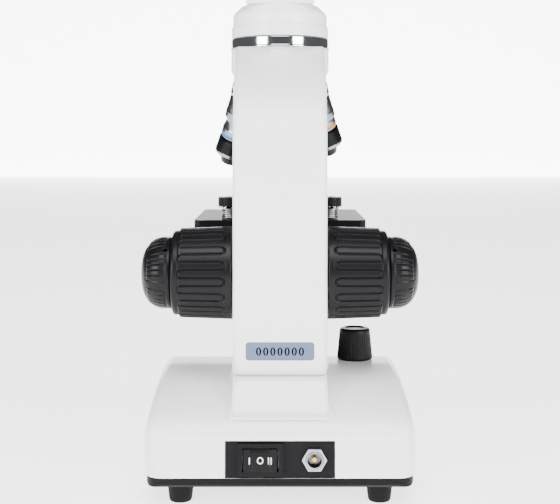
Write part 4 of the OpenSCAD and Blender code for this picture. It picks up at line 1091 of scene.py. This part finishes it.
@dataclass
class Objective:
    """An objective: a turned barrel with a coloured ring that tells its power."""

    node: str
    turn: float
    length: float
    colour: Finish
    pale: Finish
    sleeve: bool = True

    def axle(self) -> Axle:
        """The objective's axis, from its shoulder out to its tip."""
        sine, cosine = math.sin(NOSE_TILT), math.cos(NOSE_TILT)
        down, back = np.array([0, -sine, -cosine]), np.array([0, -cosine, sine])
        hub = np.array([0, PLACES.axis_y, PLACES.head_z - NOSE_DROP]) + NOSE_CIRCLE * back
        outward = math.sin(self.turn) * np.array([1.0, 0, 0]) - math.cos(self.turn) * back
        place = hub + NOSE_CIRCLE * outward
        along = cosine * down + sine * outward
        return Axle(tuple(place), tuple(along))

    def bands(self) -> list[tuple[float, float, float, Band]]:
        """The barrel as (radius, distance, rounding, finish of the stretch that ends here) in millimetres."""
        gun, chrome, colour, pale, black = Band
        tail = self.length
        shoulder = [
            (6, -0.2, 0, chrome), (9.0, -0.2, 0.3, chrome), (9.0, 2, 0.2, chrome), (9.3, 2.4, 0.2, gun),
            (9.5, 9.8, 0.2, gun), (9.7, 10.5, 0.2, chrome), (9.7, 14.2, 0.4, chrome), (7.9, 16.5, 0.6, chrome)]
        if not self.sleeve:
            return shoulder + [
                (8.8, 19, 0.3, chrome), (9.1, 19.5, 0.2, chrome), (9.1, 20.2, 0, chrome), (9.1, 21.4, 0, colour),
                (9.1, 22, 0.2, chrome), (8.2, 22.5, 0.2, chrome), (7.6, tail, 0.5, black), (5.0, tail, 0.2, black),
                (4.9, tail - 2, 0, black), (0, tail - 2, 0, black)]
        body = tail - 17.5
        return shoulder + [
            (8.8, body - 5.5, 0.3, chrome), (9.1, body - 5, 0.2, chrome), (9.1, body - 2.4, 0, chrome),
            (9.1, body - 1.2, 0, pale), (9.1, body - 0.5, 0, colour), (9.1, body, 0.2, chrome),
            (8.1, body + 0.5, 0.2, black), (8.1, tail - 16.2, 0.2, black), (9.5, tail - 15.6, 0.3, black),
            (9.95, tail - 8, 0.2, black), (10.1, tail - 7.9, 0.1, chrome), (10.1, tail - 6.4, 0.3, chrome),
            (9.6, tail - 6, 0.2, black), (6.5, tail - 5.4, 0.4, black), (5.2, tail, 0.4, black),
            (2.9, tail, 0.1, black), (2.8, tail - 2, 0, black), (0, tail - 2, 0, black)]

    def build(self) -> None:
        """Makes the objective in place of its CAD node."""
        rows, slots = [], []
        bands = self.bands()
        for k, (radius, along, rounding, band) in enumerate(bands):
            here = np.array([radius, along])
            if 0 < k < len(bands) - 1 and rounding > 0:
                start, end = (toward(here, spot, min(rounding, 0.45 * np.linalg.norm(spot - here)))
                              for spot in (np.array(bands[k - 1][:2]), np.array(bands[k + 1][:2])))
                rows += [start, 0.25 * start + 0.5 * here + 0.25 * end, end]
                slots += [band.value, band.value, bands[k + 1][3].value]
            else:
                rows.append(here)
                slots.append(band.value)
        made = lathe(Surface(), self.axle(), np.array(rows) * MM, 96, np.array(slots[1:]))
        finishes = [GUNMETAL, SATIN, self.colour, self.pale, GLOSS_BLACK]
        place_piece(f"{self.node}_barrel", made, finishes, "nosepiece", [self.node], 28)


@dataclass
class ClipSpring:
    """A coil spring under a stage clip."""

    x: float
    y: float
    coil_r: float = 3.5 * MM
    wire_r: float = 0.5 * MM
    turns: float = 4.5

    def surface(self, made: Surface) -> Surface:
        """Sweeps a wire's circle along a helix whose first and last half turns lie flat."""
        low = PLACES.stage_z + self.wire_r
        high = corner("clip_springs", True, 2) - self.wire_r
        t = np.linspace(0, 1, 260)
        angle = 2 * math.pi * self.turns * t
        rise = smoothstep(0.0, 1.0, t) * 0.25 + t * 0.75
        centre = np.stack([self.x + self.coil_r * np.cos(angle), self.y + self.coil_r * np.sin(angle),
                           low + (high - low) * rise], axis=-1)
        out = np.stack([np.cos(angle), np.sin(angle), np.zeros_like(angle)], axis=-1)
        ring = whole_turn(10)
        grid = (centre[:, None] + self.wire_r * (np.cos(ring)[None, :, None] * out[:, None]
                + np.sin(ring)[None, :, None] * np.array([0, 0, 1.0])))
        return made.add_grid(grid, close_cols=True, caps=Ends.BOTH)


# ---------------------------------------------------------------- marks and small parts of the panel


@dataclass
class SerialPlate:
    """The pale blue plate on the back of the arm, with a thin rim and a row of plain noughts."""

    digits: int = 7
    digit_h: float = 4.1 * MM
    digit_w: float = 2.5 * MM
    pitch: float = 3.35 * MM
    plate_r: float = 1.5 * MM

    def on_arm(self, across: Array, up: Array, proud: Array | float) -> Array:
        """Points on the curved back of the arm: its cubic outline gives the setback at a height."""
        curl = ArmCasting().curl(80)
        height = middle("serial_plate", 2) + up
        setback = np.interp(height, curl[:, 1], curl[:, 0])
        return np.stack([across, PLACES.rear_y - setback + proud, height], axis=-1)

    def plate(self) -> Surface:
        """The plate: nested copies of a rounded outline, bent over the arm."""
        half_w = corner("serial_plate", True, 0)
        half_h = (corner("serial_plate", True, 2) - corner("serial_plate", False, 2)) / 2
        x, z = rounded_box(whole_turn(120), half_w, half_h, self.plate_r)
        rows = [self.on_arm(x, z, -0.2 * MM), self.on_arm(x, z, 0.2 * MM)]
        rows += [self.on_arm(x * s, z * (1 - (1 - s) * 2), 0.3 * MM) for s in (0.985, 0.9, 0.75, 0.6)]
        levels = np.linspace(1, 0.0, 7)[1:]
        inner_x, inner_z = x * 0.6, z * 0.2
        rows += [self.on_arm(inner_x * s, inner_z * s, 0.3 * MM) for s in levels[:-1]]
        return Surface().add_grid(np.stack(rows), close_cols=True, caps=Ends.BOTH)

    def noughts(self) -> Surface:
        """Flat rings shaped as noughts, thicker at their sides, all at one pitch."""
        made = Surface()
        turn = whole_turn(48)
        for k in range(self.digits):
            x0 = (k - (self.digits - 1) / 2) * self.pitch
            outer = (self.digit_w / 2 * np.cos(turn), self.digit_h / 2 * np.sin(turn))
            inner = (outer[0] * 0.36, outer[1] * 0.78)
            rows = [self.on_arm(x0 + inner[0], inner[1], 0.2 * MM), self.on_arm(x0 + inner[0], inner[1], 0.36 * MM),
                    self.on_arm(x0 + outer[0], outer[1], 0.36 * MM), self.on_arm(x0 + outer[0], outer[1], 0.2 * MM)]
            made.add_grid(np.stack(rows), close_rows=True, close_cols=True)
        return made

    def build(self) -> None:
        """Makes the plate and its marks in place of the CAD plate."""
        for name, made, finish in (("plate_skin", self.plate(), PLATE), ("plate_marks", self.noughts(), PLATE_INK)):
            place_piece(name, made, [finish], "stand", ["serial_plate"])


@dataclass
class RockerMarks:
    """White marks on the rocker: one bar, a ring and two bars, set just into its hollow face."""

    bar_h: float = 3.2 * MM
    bar_w: float = 0.42 * MM
    ring_r: float = 1.45 * MM
    ring_w: float = 0.42 * MM
    hollow_r: float = 21.5 * MM
    hollow_y: float = 23.4 * MM

    def on_face(self, across: Array, up: Array, proud: float) -> Array:
        """Points on the hollow face: y = c - sqrt(r^2 - x^2) behind the rocker's pivot."""
        pivot_y = PLACES.rear_y - 0.6 * MM
        y = pivot_y + self.hollow_y - np.sqrt(self.hollow_r**2 - across**2) + proud
        return np.stack([middle("rocker", 0) + across, y, middle("rocker", 2) + up], axis=-1)

    def bar(self, made: Surface, x: float) -> None:
        """Adds an upright bar."""
        turn = whole_turn(24)
        round_x = x + self.bar_w / 2 * np.sign(np.round(np.cos(turn), 6)) * np.abs(np.cos(turn)) ** 0.2
        round_z = self.bar_h / 2 * np.sign(np.round(np.sin(turn), 6)) * np.abs(np.sin(turn)) ** 0.2
        rows = [self.on_face(round_x, round_z, -0.1 * MM), self.on_face(round_x, round_z, 0.04 * MM)]
        made.add_grid(np.stack(rows), close_cols=True, caps=Ends.BOTH)

    def build(self) -> None:
        """Makes the marks; seen from the back they read bar, ring, two bars from left to right."""
        made = Surface()
        for x in (4.9 * MM, -3.8 * MM, -5.0 * MM):
            self.bar(made, x)
        turn = whole_turn(48)
        rows = [self.on_face(r * np.cos(turn), 1.1 * r * np.sin(turn), p) for r, p in (
            (self.ring_r, -0.1 * MM), (self.ring_r, 0.04 * MM), (self.ring_r - self.ring_w, 0.04 * MM),
            (self.ring_r - self.ring_w, -0.1 * MM))]
        made.add_grid(np.stack(rows), close_rows=True, close_cols=True)
        place_piece("rocker_marks", made, [MARK_WHITE], "switch_rocker", ())


@dataclass
class JackBarrel:
    """The threaded barrel of the power socket."""

    pitch: float = 0.75 * MM
    thread_depth: float = 0.28 * MM

    def build(self) -> None:
        """Makes the barrel: outside the panel its radius falls in a helical vee, r - d |saw(x / pitch - angle)|."""
        node = "jack_barrel"
        mid_x, mid_z = middle(node, 0), middle(node, 2)
        end = corner(node, True, 1)
        outer, bore = 4 * MM, 3.15 * MM
        wall = np.linspace(end - 6 * MM, end - 0.35 * MM, 70)
        profile = np.concatenate([np.stack([np.full_like(wall, outer), wall], axis=-1),
                                  [[outer - 0.35 * MM, end], [bore + 0.2 * MM, end], [bore, end - 0.25 * MM],
                                   [bore, end - 9 * MM], [0, end - 9 * MM]]])
        angle = turns_for(profile, 96)
        phase = np.mod(profile[:, 1:2] / self.pitch - angle / (2 * math.pi), 1)
        vee = self.thread_depth * np.abs(phase - 0.5) * 2 * (profile[:, :1] > outer - 0.05 * MM)
        axle = Axle((mid_x, 0, mid_z), (0, 1, 0))
        grid = axle.turned(profile[:, :1] - vee, profile[:, 1:2] + 0 * angle, angle)
        dark = (np.arange(len(profile) - 1) >= len(wall) + 1).astype(int)
        made = Surface().add_grid(grid, close_cols=True, slot=dark, caps=Ends.FIRST)
        place_piece("jack_threads", made, [STEEL, PANEL], "stand", [node], 50)


# ---------------------------------------------------------------- finishes and rounded edges on the CAD nodes


@dataclass(frozen=True)
class Edging:
    """Edge rounding for a CAD node: the width of its rounding and its segments."""

    width: float
    segments: int = 3


FINISH_NODES: tuple[tuple[Finish, str], ...] = (
    (BLACK_PAINT, "base_plate stage_plate nosepiece_base stage_bracket carriage"),
    (PANEL, "rear_panel switch_frame"),
    (GLOSS_BLACK, "rocker"),
    (PLASTIC, "clip_posts condenser_holder diaphragm_disc upper_lamp lamp_housing eyepiece_body"),
    (RUBBER, "eyecup rubber_feet"),
    (CHROME, "head_ring nosepiece_disc clip_left clip_right"),
    (STEEL, "jack_nut base_screws dimmer_pot dimmer_shaft arm_bolts guide_rails coarse_shaft"
            " fine_shaft diaphragm_pivot nosepiece_pivot head_lock_screw"),
    (BRASS, "jack_pin focus_bushes focus_rack focus_pinion"),
    (GUNMETAL, "knob_set_screws"),
    (GLASS, "field_lens condenser_lens objective_lenses eyepiece_lenses upper_lamp_lens prism"),
    (BOARD, "driver_board lamp_board"),
)
NODE_FINISH = {name: finish for finish, names in FINISH_NODES for name in names.split()}

EDGED_NODES: tuple[tuple[Edging, str], ...] = (
    (Edging(0.5 * MM), "base_plate lamp_housing eyecup"),
    (Edging(0.6 * MM), "stage_plate"),
    (Edging(0.4 * MM), "stage_bracket carriage switch_frame rocker nosepiece_base"),
    (Edging(0.3 * MM), "rear_panel upper_lamp nosepiece_disc condenser_holder eyepiece_body"),
    (Edging(0.1 * MM, 2), "clip_left clip_right"),
    (Edging(0.2 * MM, 2), "diaphragm_disc jack_nut jack_pin head_ring base_screws arm_bolts guide_rails"),
    (Edging(0.4 * MM, 2), "rubber_feet"),
)
NODE_EDGING = {name: edging for edging, names in EDGED_NODES for name in names.split()}


@dataclass
class NodeFinisher:
    """Gives the CAD nodes that are still shown their finishes and rounded edges."""

    edge_angle: float = math.radians(28)
    weld: float = 0.002 * MM

    def run(self) -> None:
        """Goes through all nodes; a node that another piece stands for is left alone."""
        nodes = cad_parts
        for name, node in nodes.items():
            if node.hide_render:
                continue
            finish = NODE_FINISH.get(name, ENAMEL)
            node.data.materials.clear()
            node.data.materials.append(finish.material())
            edging = NODE_EDGING.get(name)
            if edging:
                self.round_edges(node, edging)
        LOG.info("finished %d CAD nodes", len(nodes))

    def round_edges(self, node, edging: Edging) -> None:
        """Adds a weld and a bevel to a node as modifiers, so that its own mesh stays as imported."""
        weld = node.modifiers.new("weld", "WELD")
        weld.merge_threshold = self.weld
        bevel = node.modifiers.new("round", "BEVEL")
        bevel.width = edging.width
        bevel.segments = edging.segments
        bevel.limit_method = "ANGLE"
        bevel.angle_limit = self.edge_angle
        bevel.harden_normals = True
        bevel.use_clamp_overlap = True
        bevel.miter_outer = "MITER_ARC"


# ---------------------------------------------------------------- room and camera


def glowing(name: str, glow: float):
    """A white material for the room that also gives off a little light.

    Args:
        name: the material's name.
        glow: how strongly it shines.

    Returns:
        The material.
    """
    material = bpy.data.materials.new(name)
    material.use_nodes = True
    shader = material.node_tree.nodes["Principled BSDF"]
    set_inputs(shader, {"Base Color": (0.9, 0.9, 0.9, 1), "Roughness": 0.8, "Specular IOR Level": 0.1,
                        "Emission Color": (1, 1, 1, 1), "Emission Strength": glow})
    return material


@dataclass(frozen=True)
class SoftLight:
    """A square white light."""

    name: str
    place: tuple[float, float, float]
    size: float
    watts: float


@dataclass
class Studio:
    """A pale floor, a pale sky, soft lights, and the camera behind the object."""

    distance: float = 0.482
    height: float = 0.170
    lens: float = 68.1
    rise: float = -0.205
    sky: float = 0.16
    backdrop_glow: float = 7.0
    floor_glow: float = 2.4
    lights: tuple[SoftLight, ...] = (
        SoftLight("over", (0.0, 0.9, 1.5), 0.9, 34.0),
        SoftLight("left", (1.3, 1.4, 0.6), 0.8, 50.0),
        SoftLight("right", (-1.3, 1.4, 0.6), 0.8, 50.0),
    )
    aim: tuple[float, float, float] = (0.0, 0.0, 0.15)
    floor_half: float = 6.0
    sheet_half: float = 1.5
    sheet_high: float = 1.3
    sheet_y: float = -4.0

    @staticmethod
    def sheet(name: str, corners: list[tuple[float, float, float]], glow: float) -> None:
        """Adds a flat lit sheet with four corners to the room."""
        mesh = bpy.data.meshes.new(name)
        mesh.from_pydata(corners, [], [(0, 1, 2, 3)])
        mesh.materials.append(glowing(f"{name}_white", glow))
        made = bpy.data.objects.new(name, mesh)
        bpy.context.scene.collection.objects.link(made)

    def sheets(self) -> None:
        """Lays a wide floor under the object and stands a lit sheet far behind it."""
        wide, half, high, back = self.floor_half, self.sheet_half, self.sheet_high, self.sheet_y
        self.sheet("floor", [(-wide, -wide, 0), (wide, -wide, 0), (wide, wide, 0), (-wide, wide, 0)],
                   self.floor_glow)
        self.sheet("backdrop", [(-half, back, 0), (half, back, 0), (half, back, high), (-half, back, high)],
                   self.backdrop_glow)

    def world(self) -> None:
        """Lights the room with an even white sky."""
        world = bpy.data.worlds.new("room")
        world.use_nodes = True
        set_inputs(world.node_tree.nodes["Background"], {"Color": (1, 1, 1, 1), "Strength": self.sky})
        bpy.context.scene.world = world

    def lamps(self) -> None:
        """Hangs the soft lights."""
        for light in self.lights:
            data = bpy.data.lights.new(light.name, "AREA")
            data.energy, data.size = light.watts, light.size
            lamp = bpy.data.objects.new(light.name, data)
            lamp.location = light.place
            ahead = Vector(self.aim) - Vector(light.place)
            lamp.rotation_euler = ahead.to_track_quat("-Z", "Y").to_euler()
            bpy.context.scene.collection.objects.link(lamp)

    def camera(self) -> None:
        """Sets a level camera behind the object, halfway up, and shifts its view down to the base."""
        data = bpy.data.cameras.new("camera")
        data.lens, data.sensor_width, data.shift_y = self.lens, 36.0, self.rise
        camera = bpy.data.objects.new("camera", data)
        camera.location = (0, PLACES.rear_y + self.distance, self.height)
        camera.rotation_euler = (math.radians(90), 0, math.radians(180))
        bpy.context.scene.collection.objects.link(camera)
        bpy.context.scene.camera = camera

    def build(self) -> None:
        """Makes the whole room."""
        self.sheets()
        self.world()
        self.lamps()
        self.camera()


# ---------------------------------------------------------------- running


def main() -> None:
    """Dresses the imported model."""
    logging.basicConfig(level=logging.INFO, format="%(name)s: %(message)s")
    BaseCasting().build()
    ArmCasting().build()
    HeadCasting().build()
    for side in Side:
        CoarseKnob(side).build()
        FineKnob(side).build()
    DimmerKnob().build()
    low = Objective("objective_low", 0.0, 28, BAND_RED, BAND_RED, sleeve=False)
    third = math.radians(120)
    mid = Objective("objective_mid", -third, 38, BAND_YELLOW, BAND_YELLOW)
    high = Objective("objective_high", third, 44, BAND_BLUE, BAND_PALE)
    for objective in (low, mid, high):
        objective.build()
    made = Surface()
    post_y = middle("clip_posts", 1)
    for x in (-26.5 * MM, 26.5 * MM):
        ClipSpring(x, post_y).surface(made)
    place_piece("spring_coils", made, [STEEL], "stage", ["clip_springs"], 60)
    SerialPlate().build()
    RockerMarks().build()
    JackBarrel().build()
    NodeFinisher().run()
    Studio().build()


if __name__ == "__main__":
    main()
